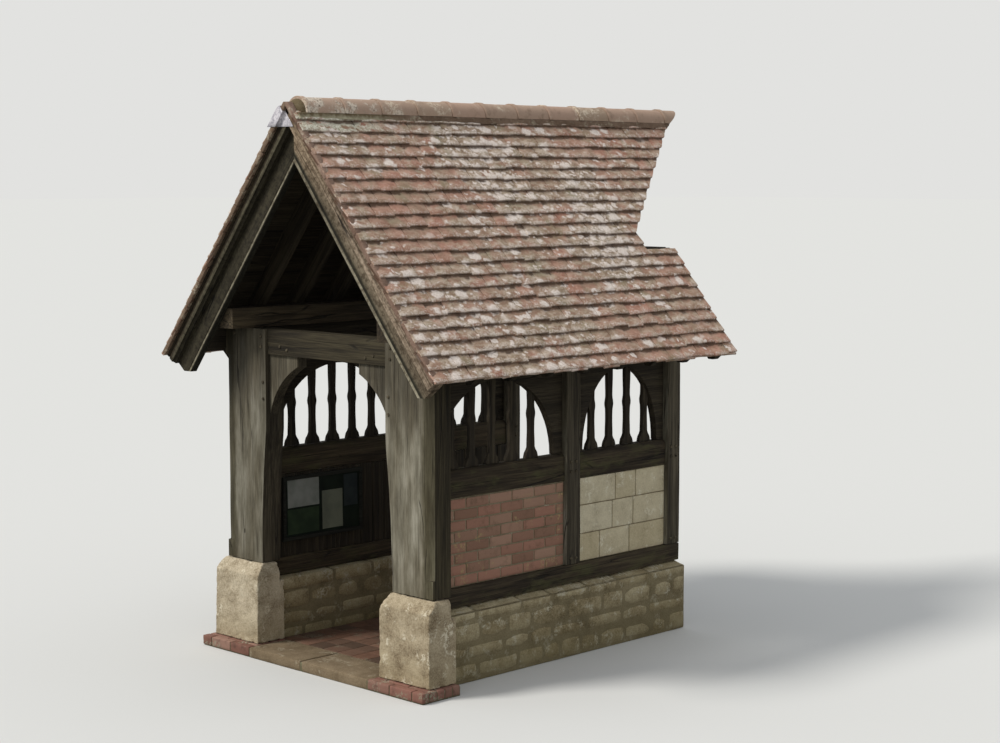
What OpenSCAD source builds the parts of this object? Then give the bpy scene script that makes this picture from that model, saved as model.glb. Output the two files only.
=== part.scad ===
// Gabled timber porch of lychgate form: oak posts on stone blocks, low stone side walls,
// open sides with cut splats under arched heads, moulded barge boards and a steep tiled roof.
// Millimetres, +Z up, the ground at Z = 0, the entrance gable towards -Y.
// Every piece is set out from the front of the gable (y = 0 there) and moved to the middle
// of the whole length at the end, so the origin is the centre of the footprint.

/* [Roof] */
// Half of the width across the eaves
half_span = 1480; // [1450:5:1510]
// Height of the tile edge at the eaves
eaves_z = 2160; // [2140:5:2180]
// Height where the two tiled slopes would meet
apex_z = 4000; // [3980:5:4020]
// Thickness of tiles and battens, square to the slope
roof_thick = 100; // [92:1:104]
// Thickness of the overlapping tiles alone, as it shows at the verge
tile_thick = 50; // [46:1:54]
// Length of the eaves, from gable to church wall
eaves_len = 3080; // [3000:10:3200]
// Distance from gable to the foot of the valley
valley_y = 2755; // [2720:5:2790]
// Distance from gable to the point where the ridge dies into the church roof
saddle_y = 4083; // [4060:1:4100]
// Half width of the roof at the foot of the valley
valley_x = 767; // [740:1:790]
// Height of the feet of the ridge tiles
ridge_z = 3882; // [3876:1:3888]
// Outer radius of a half-round ridge tile
ridge_r = 115; // [112:1:118]
// Length of one ridge tile
ridge_tile_len = 340; // [300:10:450]

/* [Barge boards] */
// Depth of the boards below the tile tops, square to the slope
barge_depth = 293; // [280:1:305]
// Depth of the outer board's lower edge below the tile tops
barge_step = 144; // [136:1:156]
// Thickness of each of the two boards
barge_thick = 50; // [42:1:52]
// Distance from gable to the face of the outer board
barge_y = 30; // [26:1:34]
// Height of the level cut at the feet
barge_foot_z = 2035; // [2025:1:2055]

/* [Posts and beams] */
// Distance from gable to the face of the front posts
post_y = 320; // [300:5:340]
// Depth of a front post
post_depth = 170; // [150:5:200]
// Outer face of a front post, from the middle of the porch
post_out = 1105; // [1090:5:1115]
// Half of the clear entrance at the foot of the posts
post_in = 700; // [680:5:710]
// How far the jowled head of a post stands in beyond its foot
jowl = 60; // [40:5:70]
// Height of the stone blocks under the front posts
padstone_z = 655; // [640:5:670]
// Underside of the wall plates, the height of all posts
plate_z = 2365; // [2350:5:2380]
// Depth of a wall plate
plate_depth = 150; // [145:5:155]
// Depth of a tie beam
tie_depth = 185; // [160:5:200]

/* [Side frames] */
// Middle of a side frame, from the middle of the porch
side_x = 850; // [840:5:860]
// Width of sill, posts and plate across the frame
frame_w = 160; // [150:2:170]
// Width of a middle or rear post along the frame
side_post = 145; // [130:5:160]
// Distance from gable to the front of the middle post
mid_post_y = 1810; // [1790:5:1830]
// Underside of the middle rail
rail_z = 1270; // [1250:5:1290]
// Depth of the middle rail
rail_depth = 195; // [180:5:200]
// Height of the arched heads above the rail
arch_rise = 590; // [560:5:610]
// Width of an arched head where it springs
arch_haunch = 75; // [60:5:80]
// Thickness of a splat
splat_thick = 30; // [24:1:34]

/* [Base] */
// Height of the threshold and of the tiled floor
floor_z = 75; // [60:5:90]
// Distance from gable to the front edge of the threshold
threshold_y = 140; // [120:5:160]
// Height of the low stone walls
dwarf_z = 520; // [500:5:530]
// Thickness of the low stone walls
dwarf_w = 300; // [280:5:320]

/* [Hidden] */
$fn = 64;

// Roof geometry
pitch = atan((apex_z - eaves_z) / half_span);
slope_len = half_span / cos(pitch);
verge_y = 6;
big = 9000;
// Church roof under the saddle
valley_z = apex_z - valley_x * tan(pitch);
saddle_slope = (apex_z - valley_z) / (saddle_y - valley_y);
church_eaves_drop = 130;
valley_board_t = 30;
valley_board_w = 330;
// Ridge
ridge_shell = 20;
ridge_start = 110;
ridge_gap = 70;
ridge_roll = 8;
ridge_roll_w = 45;
cap_lead = 6;
cap_lift = 12;
cap_len = 40;
cap_half = 260;
cap_foot_z = apex_z - 215;
cap_top = apex_z - 60;
cap_peak = apex_z + cap_lift / cos(pitch);
cap_r = (cap_peak - cap_top) * cos(pitch) / (1 - cos(pitch));
cap_shell = 8;
ridge_board_w = 40;
ridge_board_depth = 190;
ridge_top = ridge_z + ridge_r - ridge_roll;
whole_len = saddle_y + (ridge_top - apex_z) / saddle_slope;
mid_y = whole_len / 2;
// Rafters
rafter_w = 60;
rafter_depth = 125;
rafter_first = barge_y + 2 * barge_thick;
rafter_count = 9;
rafter_gap = (eaves_len - rafter_w - rafter_first) / (rafter_count - 1);
rafter_foot_z = 2095;
rafter_tail = 70;
jack_count = 2;
collar_z = 3040;
collar_depth = 120;
collar_w = 45;
// Side frames
rail_top = rail_z + rail_depth;
frame_in = side_x - frame_w / 2;
frame_out = side_x + frame_w / 2;
rail_w = 120;
panel_w = 100;
lining_t = 25;
arch_t = 60;
block_back = post_y + post_depth;
block_rebate = 40;
block_front = post_y - 90;
block_out = post_out + 55;
block_in = post_in - 45;
block_bevel = 80;
threshold_out = block_out + 30;
// Bays of a side frame, each as [start, length]
rear_post_y = eaves_len - side_post;
bay_starts = [post_y + post_depth, mid_post_y + side_post];
bay_lens = [mid_post_y - bay_starts[0], rear_post_y - bay_starts[1]];
splat_counts = [5, 4];
splat_pitch = 197;
splat_first = [235, 195];
// Half widths of a splat at heights above the rail
splat_outline = [[0, 64], [22, 60], [82, 29], [210, 25], [265, 26], [318, 35], [375, 25], [540, 30], [620, 30]];
splat_steps = 30;
brace_reach = 330;
brace_spring = 1650;
tie_z = plate_z - tie_depth;
tie_w = 130;
board_y = 560;
board_len = 770;
board_z = 770;
board_h = 480;

// Moves a piece from gable setting-out to the centre of the footprint
module set_out() {
    translate([0, -mid_y, 0]) children();
}

// The left half is the mirror image of the right half
module to_left() {
    mirror([1, 0, 0]) children();
}

// Box from two opposite corners
module block(low, high) {
    translate(low) cube(high - low);
}

// Outline in X and Z, taken from y0 to y1
module across(y0, y1) {
    translate([0, y1, 0]) rotate([90, 0, 0]) linear_extrude(y1 - y0) children();
}

// Outline in Y and Z, taken from x0 to x1
module along(x0, x1) {
    translate([x0, 0, 0]) rotate([90, 0, 90]) linear_extrude(x1 - x0) children();
}

// Right-hand slope as a plane: local x runs down the slope, local z stands square to it
module on_slope() {
    translate([0, 0, apex_z]) rotate([0, pitch, 0]) children();
}

// Everything on the right of the distance x
module right_of(x) {
    block([x, -big, -big], [big, big, big]);
}

// The church wall, eaves and roof slope that the porch is built against, raised by lift
module church(lift) {
    far = saddle_y + 800;
    far_z = valley_z + saddle_slope * (far - valley_y);
    along(-big / 2, big / 2) polygon([
        [valley_y, valley_z + lift], [far, far_z + lift], [far, -10],
        [eaves_len, -10], [eaves_len, valley_z - church_eaves_drop],
        [valley_y, valley_z - church_eaves_drop]
    ]);
}

// Everything below the underside of the tiles
module under_tiles() {
    drop = roof_thick / cos(pitch);
    half = half_span + 200;
    low = apex_z - drop - half * tan(pitch);
    across(-100, big) polygon([[-half, 0], [-half, low], [0, apex_z - drop], [half, low], [half, 0]]);
}

// Slab on the right-hand slope between two depths below the tile tops
module slope_layer(top, bottom, y0, y1, x1) {
    on_slope() block([-400, y0, -bottom], [x1, y1, -top]);
}

// Base

module threshold() {
    color("tan") across(threshold_y, block_back) polygon([
        [-threshold_out, 0], [threshold_out, 0], [threshold_out, floor_z], [-threshold_out, floor_z]
    ]);
}

module floor_tiles() {
    edge = side_x - dwarf_w / 2;
    color("indianred") block([-edge, block_back, 0], [edge, eaves_len, floor_z]);
}

// Block with weathered bevels at the front and both sides, flat under the post, and rebated
// at the back for the end of the sill
module padstone() {
    color("burlywood") intersection() {
        across(block_front, block_back) polygon([
            [block_in, floor_z], [block_out, floor_z], [block_out - 8, padstone_z - 35],
            [block_out - 30, padstone_z], [post_in - 12, padstone_z], [block_in, padstone_z - block_bevel]
        ]);
        along(block_in, block_out) polygon([
            [block_front, floor_z], [block_back, floor_z], [block_back, dwarf_z],
            [block_back - block_rebate, dwarf_z], [block_back - block_rebate, padstone_z],
            [post_y - 8, padstone_z], [block_front + 8, padstone_z - block_bevel]
        ]);
    }
}

// Low wall with a weathered outer ledge beside the sill
module dwarf_wall() {
    inner = side_x - dwarf_w / 2;
    outer = side_x + dwarf_w / 2;
    color("wheat") across(block_back, eaves_len) polygon([
        [inner, 0], [outer, 0], [outer, dwarf_z - 45], [frame_out, dwarf_z], [inner, dwarf_z]
    ]);
}

module sill_beam() {
    color("dimgray")
        block([frame_in, block_back - block_rebate, dwarf_z], [frame_out, eaves_len, padstone_z]);
}

// Posts

// Inner face of a front post at height z: straight head over a swept jowl
function post_face(z) = post_in - jowl * pow(min((z - padstone_z) / (brace_spring - padstone_z), 1), 2);

module front_post() {
    steps = 14;
    run = plate_z - padstone_z;
    chamfer_w = 70;
    chamfer_d = 22;
    stop = 130;
    color("gray") difference() {
        across(post_y, post_y + post_depth) polygon(concat(
            [[post_out, padstone_z], [post_out, plate_z]],
            [for (i = [steps:-1:0]) [post_face(padstone_z + run * i / steps), padstone_z + run * i / steps]]
        ));
        // shallow stopped chamfer on the outer front arris
        translate([0, 0, padstone_z + stop]) linear_extrude(1500 - stop) polygon([
            [post_out - chamfer_w, post_y], [post_out - chamfer_w, post_y - 20], [post_out + 20, post_y - 20],
            [post_out + 20, post_y + chamfer_d], [post_out, post_y + chamfer_d]
        ]);
    }
}

module side_post(y) {
    color("gray") block([frame_in, y, padstone_z], [frame_out, y + side_post, plate_z]);
}

// Side frames

module infill_panels() {
    for (i = [0, 1]) {
        color(i == 0 ? "rosybrown" : "cornsilk")
            block([side_x - panel_w / 2, bay_starts[i], padstone_z],
                [side_x + panel_w / 2, bay_starts[i] + bay_lens[i], rail_z]);
    }
}

module inner_boarding() {
    face = side_x - panel_w / 2;
    for (i = [0, 1]) {
        color("saddlebrown")
            block([face - lining_t, bay_starts[i], padstone_z], [face, bay_starts[i] + bay_lens[i], rail_z]);
    }
}

// Rail with a small chamfer above, so that rain runs off
module mid_rail() {
    half = rail_w / 2;
    for (i = [0, 1]) {
        color("dimgray") across(bay_starts[i], bay_starts[i] + bay_lens[i]) polygon([
            [side_x - half, rail_z], [side_x + half, rail_z], [side_x + half, rail_top - 22],
            [side_x + half - 22, rail_top], [side_x - half + 22, rail_top], [side_x - half, rail_top - 22]
        ]);
    }
}

// Elliptical arch over a bay, as an outline in Y and Z that reaches just below the rail top
module arch_outline(bay) {
    a = bay_lens[bay] / 2 - arch_haunch;
    middle = bay_starts[bay] + bay_lens[bay] / 2;
    translate([middle, rail_top]) polygon([for (t = [0:6:180]) [a * cos(t), arch_rise * sin(t)]]);
}

module arch_heads() {
    for (i = [0, 1]) {
        color("dimgray") along(side_x - arch_t / 2, side_x + arch_t / 2) difference() {
            translate([bay_starts[i], rail_top]) square([bay_lens[i], plate_z - rail_top]);
            arch_outline(i);
        }
    }
}

// Half width of a splat at height z above the rail, eased between the points of its outline
function ease(t) = (1 - cos(180 * t)) / 2;
function part_at(z, i) =
    z <= splat_outline[i + 1][0] || i >= len(splat_outline) - 2 ? i : part_at(z, i + 1);
function blend(z, i) =
    let (a = splat_outline[i], b = splat_outline[i + 1])
    a[1] + (b[1] - a[1]) * ease(min(max((z - a[0]) / (b[0] - a[0]), 0), 1));
function splat_half(z) = blend(z, part_at(z, 0));

module splat_outline_at(y) {
    tall = arch_rise + 10;
    translate([y, rail_top]) polygon(concat(
        [for (i = [0:splat_steps]) let (z = tall * i / splat_steps) [splat_half(z), z]],
        [for (i = [splat_steps:-1:0]) let (z = tall * i / splat_steps) [-splat_half(z), z]]
    ));
}

// Flat boards cut to a waved outline, dying into the arch above them
module splats() {
    for (i = [0, 1]) {
        color("saddlebrown") along(side_x - splat_thick / 2, side_x + splat_thick / 2) intersection() {
            union() {
                for (k = [0:splat_counts[i] - 1]) {
                    splat_outline_at(bay_starts[i] + splat_first[i] + splat_pitch * k);
                }
            }
            arch_outline(i);
        }
    }
}

module wall_plate_body() {
    block([frame_in, rafter_first, plate_z], [frame_out, eaves_len, plate_z + plate_depth]);
}

module wall_plate() {
    color("dimgray") wall_plate_body();
}

// Entrance

// Curved brace in the corner between post and tie beam
module entrance_brace() {
    head = post_in - jowl;
    mid = post_y + post_depth / 2;
    color("dimgray") across(mid - 45, mid + 45) difference() {
        translate([brace_reach, brace_spring]) square([head - brace_reach, tie_z - brace_spring]);
        translate([0, brace_spring])
            polygon([for (t = [0:4:180]) [(head + 10) * cos(t), (tie_z - brace_spring) * sin(t)]]);
        translate([0, brace_spring - 10]) square([head + 10, 20]);
    }
}

module tie_beam(y, half) {
    color("dimgray") block([-half, y, tie_z], [half, y + tie_w, plate_z]);
}

// Roof timbers

module ridge_board() {
    top = apex_z - (roof_thick + 8) / cos(pitch);
    color("saddlebrown") difference() {
        block([-ridge_board_w / 2, rafter_first, top - ridge_board_depth],
            [ridge_board_w / 2, saddle_y, top]);
        church(valley_board_t);
    }
}

// One rafter with its birdsmouth over the plate and its level-cut tail
module rafter(y) {
    difference() {
        intersection() {
            slope_layer(roof_thick, roof_thick + rafter_depth, y, y + rafter_w, slope_len - rafter_tail);
            right_of(ridge_board_w / 2);
            block([-big, -big, rafter_foot_z], [big, big, big]);
        }
        wall_plate_body();
        church(valley_board_t);
    }
}

// Common rafters over the porch and jack rafters on the saddle
module rafters() {
    color("saddlebrown") {
        for (i = [0:rafter_count - 1]) {
            rafter(rafter_first + rafter_gap * i);
        }
        for (i = [1:jack_count]) {
            rafter(eaves_len - rafter_w + rafter_gap * i * 0.8);
        }
    }
}

// Collars between every second pair of rafters, well back from the gable
module collars() {
    drop = (roof_thick + rafter_depth) / cos(pitch);
    reach = (apex_z - drop - collar_z) / tan(pitch);
    top_reach = (apex_z - drop - collar_z - collar_depth) / tan(pitch);
    for (i = [2, 4, 6]) {
        y = rafter_first + rafter_gap * i + (rafter_w - collar_w) / 2;
        color("saddlebrown") across(y, y + collar_w) polygon([
            [-reach, collar_z], [reach, collar_z],
            [top_reach, collar_z + collar_depth], [-top_reach, collar_z + collar_depth]
        ]);
    }
}

// Boards laid on the church roof along both valleys, under the feet of the jack rafters
module valley_boards() {
    color("saddlebrown") intersection() {
        difference() {
            church(valley_board_t);
            church(0);
        }
        under_tiles();
        translate([0, 0, 1000]) linear_extrude(4000) polygon([
            [-valley_x, valley_y], [0, saddle_y], [valley_x, valley_y],
            [valley_x - valley_board_w, valley_y], [0, saddle_y - valley_board_w * (saddle_y - valley_y) / valley_x],
            [valley_board_w - valley_x, valley_y]
        ]);
    }
}

// Roof covering

// Tiles reach the verge, and the battens under them stop behind the barge boards.
// The top course stops short of the middle, where the ridge tiles bridge the gap.
module roof_tiles() {
    color("rosybrown") difference() {
        intersection() {
            slope_layer(0, roof_thick, verge_y, saddle_y + 10, slope_len);
            right_of(ridge_gap);
        }
        slope_layer(tile_thick, roof_thick + 10, -10, rafter_first, slope_len + 10);
        church(0);
    }
}

// Outline of both tiled slopes in X and Z, each up to its top course
module slopes_outline() {
    for (side = [-1, 1]) {
        polygon([
            [side * ridge_gap, 0], [side * ridge_gap, apex_z - ridge_gap * tan(pitch)],
            [side * big, apex_z - big * tan(pitch)], [side * big, -2 * big], [side * ridge_gap, -2 * big]
        ]);
    }
}

// Mortar that fills the gap at the top and beds the ridge tiles
module ridge_mortar() {
    fill_r = ridge_r - ridge_shell;
    foot = ridge_r - ridge_roll;
    low = apex_z - roof_thick / cos(pitch);
    color("gainsboro") difference() {
        across(cap_len, whole_len) difference() {
            union() {
                intersection() {
                    translate([0, ridge_z]) circle(fill_r);
                    translate([-fill_r, ridge_z]) square([2 * fill_r, fill_r]);
                }
                translate([-foot, low]) square([2 * foot, ridge_z - low]);
            }
            slopes_outline();
        }
        across(0, rafter_first) chevron(tile_thick, 300, 200);
        church(0);
    }
}

// Upper half of a ring in X and Z
module half_ring(outer, inner) {
    translate([0, ridge_z]) intersection() {
        difference() {
            circle(outer);
            circle(inner);
        }
        translate([-big, 0]) square([2 * big, big]);
    }
}

// Half-round tiles, each with a thickened lap over the next
module ridge_tiles() {
    count = ceil((whole_len - ridge_start) / ridge_tile_len);
    color("sienna") difference() {
        union() {
            across(ridge_start, whole_len) half_ring(ridge_r - ridge_roll, ridge_r - ridge_shell);
            for (i = [0:count - 1]) {
                y = ridge_start + i * ridge_tile_len;
                across(y, min(y + ridge_roll_w, whole_len)) half_ring(ridge_r, ridge_r - ridge_shell);
            }
        }
        church(0);
    }
}

// Barge boards

// Section across both boards: y is the distance from the gable front, and the second
// coordinate is measured up from the lower edge, square to the slope
module barge_section() {
    inner = barge_y + barge_thick;
    top = barge_depth - tile_thick;
    bead = 11;
    difference() {
        union() {
            translate([barge_y, barge_depth - barge_step]) square([barge_thick, barge_step - tile_thick]);
            translate([inner, bead]) square([barge_thick, top - bead]);
            translate([inner + bead, bead]) circle(bead);
            translate([inner + bead, 0]) square([barge_thick - bead, bead * 2]);
        }
        // hollow run along the lower edge of the outer board
        translate([barge_y, barge_depth - barge_step]) circle(20);
        // hollow run below the tiles
        translate([barge_y, top - 26]) circle(8);
        // quirk above the bead
        translate([inner, 2 * bead + 4]) circle(4);
    }
}

module barge_board() {
    color("darkgray") intersection() {
        on_slope() translate([-400, 0, -barge_depth]) rotate([90, 0, 90])
            linear_extrude(slope_len + 500) barge_section();
        right_of(0);
        block([-big, -big, barge_foot_z], [big, big, big]);
        // end of the boards at the eaves, square to the slope
        on_slope() block([-400, -100, -big], [slope_len - 23, 200, big]);
    }
}

// Band over both slopes between two depths below the tile tops, out to a half width
module chevron(top, bottom, half) {
    high = apex_z - top / cos(pitch);
    low = apex_z - bottom / cos(pitch);
    fall = half * tan(pitch);
    polygon([[-half, high - fall], [0, high], [half, high - fall], [half, low - fall], [0, low], [-half, low - fall]]);
}

// Round head of the lead, in X and Z, running out into the slopes on both sides
module cap_outline(inset) {
    foot = cap_r * sin(pitch);
    translate([0, cap_top - cap_r]) circle(cap_r - inset);
    for (side = [0, 1]) {
        mirror([side, 0]) translate([foot, 0]) square([big, apex_z + 100]);
    }
}

// Lead dressed over the first tiles, round the verge and down over the mitre of the boards,
// with a level lower edge
module lead_cap() {
    color("lightsteelblue") intersection() {
        union() {
            across(0, cap_len) difference() {
                intersection() {
                    chevron(-cap_lift, 160, cap_half);
                    cap_outline(0);
                }
                slopes_outline();
                translate([0, cap_top - cap_r]) circle(cap_r - cap_shell);
                translate([-ridge_gap, 0]) square([2 * ridge_gap, cap_top - cap_r]);
            }
            across(0, verge_y) intersection() {
                chevron(-cap_lift, tile_thick + cap_lead, cap_half);
                cap_outline(0);
            }
            across(0, barge_y) chevron(tile_thick, tile_thick + cap_lead, cap_half);
            across(barge_y - cap_lead, barge_y) chevron(tile_thick, 220, cap_half);
        }
        block([-big, -big, cap_foot_z], [big, big, big]);
    }
}

// Framed board on the inner lining of the left side
module notice_board() {
    face = side_x - panel_w / 2 - lining_t;
    edge = 28;
    color("darkslategray") to_left() difference() {
        block([face - 26, board_y, board_z], [face, board_y + board_len, board_z + board_h]);
        block([face - 40, board_y + edge, board_z + edge],
            [face - 14, board_y + board_len - edge, board_z + board_h - edge]);
    }
}

set_out() threshold();
set_out() floor_tiles();  // floor
set_out() to_left() padstone();  // padstone_left
set_out() padstone();  // padstone_right
set_out() to_left() dwarf_wall();  // dwarf_wall_left
set_out() dwarf_wall();  // dwarf_wall_right
set_out() to_left() sill_beam();  // sill_beam_left
set_out() sill_beam();  // sill_beam_right
set_out() to_left() front_post();  // front_post_left
set_out() front_post();  // front_post_right
set_out() to_left() side_post(mid_post_y);  // mid_post_left
set_out() side_post(mid_post_y);  // mid_post_right
set_out() to_left() side_post(rear_post_y);  // rear_post_left
set_out() side_post(rear_post_y);  // rear_post_right
set_out() to_left() infill_panels();  // infill_panels_left
set_out() infill_panels();  // infill_panels_right
set_out() to_left() inner_boarding();  // inner_boarding_left
set_out() inner_boarding();  // inner_boarding_right
set_out() to_left() mid_rail();  // mid_rail_left
set_out() mid_rail();  // mid_rail_right
set_out() to_left() splats();  // splats_left
set_out() splats();  // splats_right
set_out() to_left() arch_heads();  // arch_heads_left
set_out() arch_heads();  // arch_heads_right
set_out() to_left() wall_plate();  // wall_plate_left
set_out() wall_plate();  // wall_plate_right
set_out() to_left() entrance_brace();  // entrance_brace_left
set_out() entrance_brace();  // entrance_brace_right
set_out() tie_beam(post_y + (post_depth - tie_w) / 2, post_in - jowl);  // tie_beam_front
set_out() tie_beam(eaves_len - tie_w - 8, frame_in);  // tie_beam_rear
set_out() ridge_board();
set_out() to_left() rafters();  // rafters_left
set_out() rafters();  // rafters_right
set_out() collars();
set_out() valley_boards();
set_out() to_left() roof_tiles();  // roof_tiles_left
set_out() roof_tiles();  // roof_tiles_right
set_out() ridge_mortar();
set_out() ridge_tiles();
set_out() to_left() barge_board();  // barge_board_left
set_out() barge_board();  // barge_board_right
set_out() lead_cap();
set_out() notice_board();
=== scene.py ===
import math
import random

import bmesh
import bpy
import numpy as np
from mathutils import Matrix, Vector, noise


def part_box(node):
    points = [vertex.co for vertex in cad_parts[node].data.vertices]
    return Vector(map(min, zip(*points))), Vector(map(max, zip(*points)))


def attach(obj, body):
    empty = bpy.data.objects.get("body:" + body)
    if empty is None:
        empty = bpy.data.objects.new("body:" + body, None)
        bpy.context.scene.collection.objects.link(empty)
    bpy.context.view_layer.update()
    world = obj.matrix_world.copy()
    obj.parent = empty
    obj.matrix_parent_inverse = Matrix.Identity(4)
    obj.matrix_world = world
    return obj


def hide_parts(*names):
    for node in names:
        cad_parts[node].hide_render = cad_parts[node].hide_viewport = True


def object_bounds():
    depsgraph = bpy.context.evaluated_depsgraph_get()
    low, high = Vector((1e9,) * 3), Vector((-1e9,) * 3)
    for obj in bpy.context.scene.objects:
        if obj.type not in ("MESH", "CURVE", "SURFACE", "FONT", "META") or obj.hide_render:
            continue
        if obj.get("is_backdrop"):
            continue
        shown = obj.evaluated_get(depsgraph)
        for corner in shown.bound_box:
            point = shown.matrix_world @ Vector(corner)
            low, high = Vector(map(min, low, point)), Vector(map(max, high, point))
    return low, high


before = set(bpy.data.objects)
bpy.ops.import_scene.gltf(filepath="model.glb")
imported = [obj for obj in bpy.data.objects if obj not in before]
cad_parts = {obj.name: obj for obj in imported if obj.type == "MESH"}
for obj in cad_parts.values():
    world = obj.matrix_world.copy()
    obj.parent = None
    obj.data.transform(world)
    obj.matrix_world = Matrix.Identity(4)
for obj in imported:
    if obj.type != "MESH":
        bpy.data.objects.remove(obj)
cad_low, cad_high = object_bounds()

# Studio: the camera stands where the photograph was taken from and is turned to the porch.
# A pale floor carries the shadow, a broad lamp stands high on the left of the gable, and an even
# sky lights the rest.


class Value:
    """An output of a node. A formula written with it adds the nodes that reckon it."""

    def __init__(self, socket):
        self.socket = socket
        self.tree = socket.id_data
        self.is_vector = socket.type in ("VECTOR", "RGBA")

    def reckon(self, operation, *others, out=0):
        kind = "ShaderNodeVectorMath" if self.is_vector else "ShaderNodeMath"
        return add(self.tree, kind, dict(enumerate((self, *others))), out, operation=operation)

    def __add__(self, other):
        return self.reckon("ADD", other)

    def __sub__(self, other):
        return self.reckon("SUBTRACT", other)

    def __rsub__(self, other):
        return self * -1.0 + other

    def __truediv__(self, other):
        return self.reckon("DIVIDE", other)

    def __mul__(self, other):
        if not self.is_vector or isinstance(other, tuple) or getattr(other, "is_vector", False):
            return self.reckon("MULTIPLY", other)
        return add(self.tree, "ShaderNodeVectorMath", {0: self, "Scale": other}, operation="SCALE")

    def beside(self, out):
        """Another output of the same node."""
        return Value(self.socket.node.outputs[out])

    def into(self, entry):
        """Feeds an input of another node."""
        self.tree.links.new(self.socket, entry)


def add(tree, kind, feeds=None, out=0, **settings):
    """Puts a node in a tree and returns one of its outputs. feeds maps its inputs to what they get."""
    made = tree.nodes.new(kind)
    for key, value in settings.items():
        setattr(made, key, value)
    for key, value in (feeds or {}).items():
        if isinstance(value, Value):
            value.into(made.inputs[key])
        else:
            made.inputs[key].default_value = value
    return Value(made.outputs[out]) if made.outputs else None


def paint(colour):
    """A colour as the shader wants it. One of three numbers is a picture colour, 0 to 255."""
    if isinstance(colour, Value) or len(colour) == 4:
        return colour
    steps = [c / 255 for c in colour]
    return tuple(c / 12.92 if c <= 0.04045 else ((c + 0.055) / 1.055) ** 2.4 for c in steps) + (1.0,)


def coat(amount, under, over, mode="MIX"):
    """One colour laid over another."""
    tree = (amount if isinstance(amount, Value) else under).tree
    return add(tree, "ShaderNodeMix", {0: amount, 6: paint(under), 7: paint(over)}, 2, data_type="RGBA",
               blend_type=mode)


def shader_input(made, name):
    """An input of a material's shader."""
    return made.node_tree.nodes["Principled BSDF"].inputs[name]


def place_on(made):
    """The place on the piece that a material covers, from which its formulas start."""
    return add(made.node_tree, "ShaderNodeTexCoord", out="Object")


def new_finish(name, roughness, shine=0.3):
    """A material, and the place on the piece."""
    made = bpy.data.materials.new(name)
    made.use_nodes = True
    shader_input(made, "Roughness").default_value = roughness
    shader_input(made, "Specular IOR Level").default_value = shine
    return made, place_on(made)


def in_scene(name, data):
    """A new object at the origin, linked into the scene."""
    made = bpy.data.objects.new(name, data)
    bpy.context.scene.collection.objects.link(made)
    return made


scene = bpy.context.scene
scene.view_settings.view_transform = "Standard"

camera = in_scene("camera", bpy.data.cameras.new("camera"))
camera.location = (10.320, -10.385, 3.451)
camera_aim = Vector((0.0, 0.03, 1.98))
camera.rotation_euler = (camera_aim - camera.location).to_track_quat("-Z", "Y").to_euler()
camera.data.sensor_width = 36
camera.data.lens = 70
camera.data.clip_end = 600
scene.camera = camera

sky = bpy.data.worlds.new("studio sky")
sky.use_nodes = True
sky.node_tree.nodes.clear()
by_eye = add(sky.node_tree, "ShaderNodeLightPath", out="Is Camera Ray")
seen = by_eye.reckon("MAXIMUM", by_eye.beside("Is Glossy Ray"))
daylight = add(sky.node_tree, "ShaderNodeBackground", {"Color": (0.93, 0.96, 1.0, 1), "Strength": 0.62})
backdrop = add(sky.node_tree, "ShaderNodeBackground", {"Color": paint((226, 226, 224)), "Strength": 1.0})
sky_mix = add(sky.node_tree, "ShaderNodeMixShader", {0: seen, 1: daylight, 2: backdrop})
add(sky.node_tree, "ShaderNodeOutputWorld", {"Surface": sky_mix})
scene.world = sky

lamp_data = bpy.data.lights.new("lamp", "SUN")
lamp_data.energy = 2.3
lamp_data.angle = math.radians(16)
lamp_data.color = (1.0, 0.97, 0.92)
lamp = in_scene("lamp", lamp_data)
lamp.rotation_euler = Vector((0.34, 0.62, -0.71)).to_track_quat("-Z", "Y").to_euler()

REACH = 250        # from the middle of the floor to each side
floor_mesh = bpy.data.meshes.new("studio_floor")
floor_mesh.from_pydata([(-REACH, -REACH, 0), (REACH, -REACH, 0), (REACH, REACH, 0), (-REACH, REACH, 0)], [],
                       [(0, 1, 2, 3)])
studio_floor = in_scene("studio_floor", floor_mesh)
floor_paint = new_finish("studio floor", 1.0, 0.0)[0]
by_eye = add(floor_paint.node_tree, "ShaderNodeLightPath", out="Is Camera Ray")
coat(by_eye, (0.30, 0.30, 0.28, 1), (218, 218, 215)).into(shader_input(floor_paint, "Base Color"))
floor_mesh.materials.append(floor_paint)
studio_floor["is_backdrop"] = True

# Threshold: two worn stone slabs between the padstones, with paving bricks round the padstones'
# feet, all bedded level on the ground.

GABLE_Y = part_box("lead_cap")[0].y        # front of the tiles, from which the porch is set out
X, Y, Z = (Vector(row) for row in Matrix.Identity(3))


def at(x, y, z):
    """A point given as the porch is set out, with y from the gable."""
    return Vector((x, y + GABLE_Y, z))


def noise_at(place, scale, detail=4.0, roughness=0.55, distortion=0.0, out=0):
    return add(place.tree, "ShaderNodeTexNoise", {"Vector": place, "Scale": scale, "Detail": detail,
                                                  "Roughness": roughness, "Distortion": distortion}, out)


def between(value, low, high):
    """0 below low, 1 above high, smooth between them."""
    return add(value.tree, "ShaderNodeMapRange", {0: value, 1: low, 2: high}, interpolation_type="SMOOTHSTEP")


def tint(value, *stops):
    """A colour ramp: stops are (place, colour)."""
    made = add(value.tree, "ShaderNodeValToRGB", {0: value})
    bar = made.socket.node.color_ramp.elements
    while len(bar) < len(stops):
        bar.new(0.5)
    for mark, (place, colour) in zip(bar, stops):
        mark.position = place
        mark.color = paint(colour)
    return made


def shadow(amount, body, pattern, *stops):
    """Darkens a colour by a pattern."""
    return coat(amount, body, tint(pattern, *stops), "MULTIPLY")


def axes(place):
    """The x, y and z of a place."""
    x = add(place.tree, "ShaderNodeSeparateXYZ", {0: place})
    return x, x.beside(1), x.beside(2)


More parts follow.
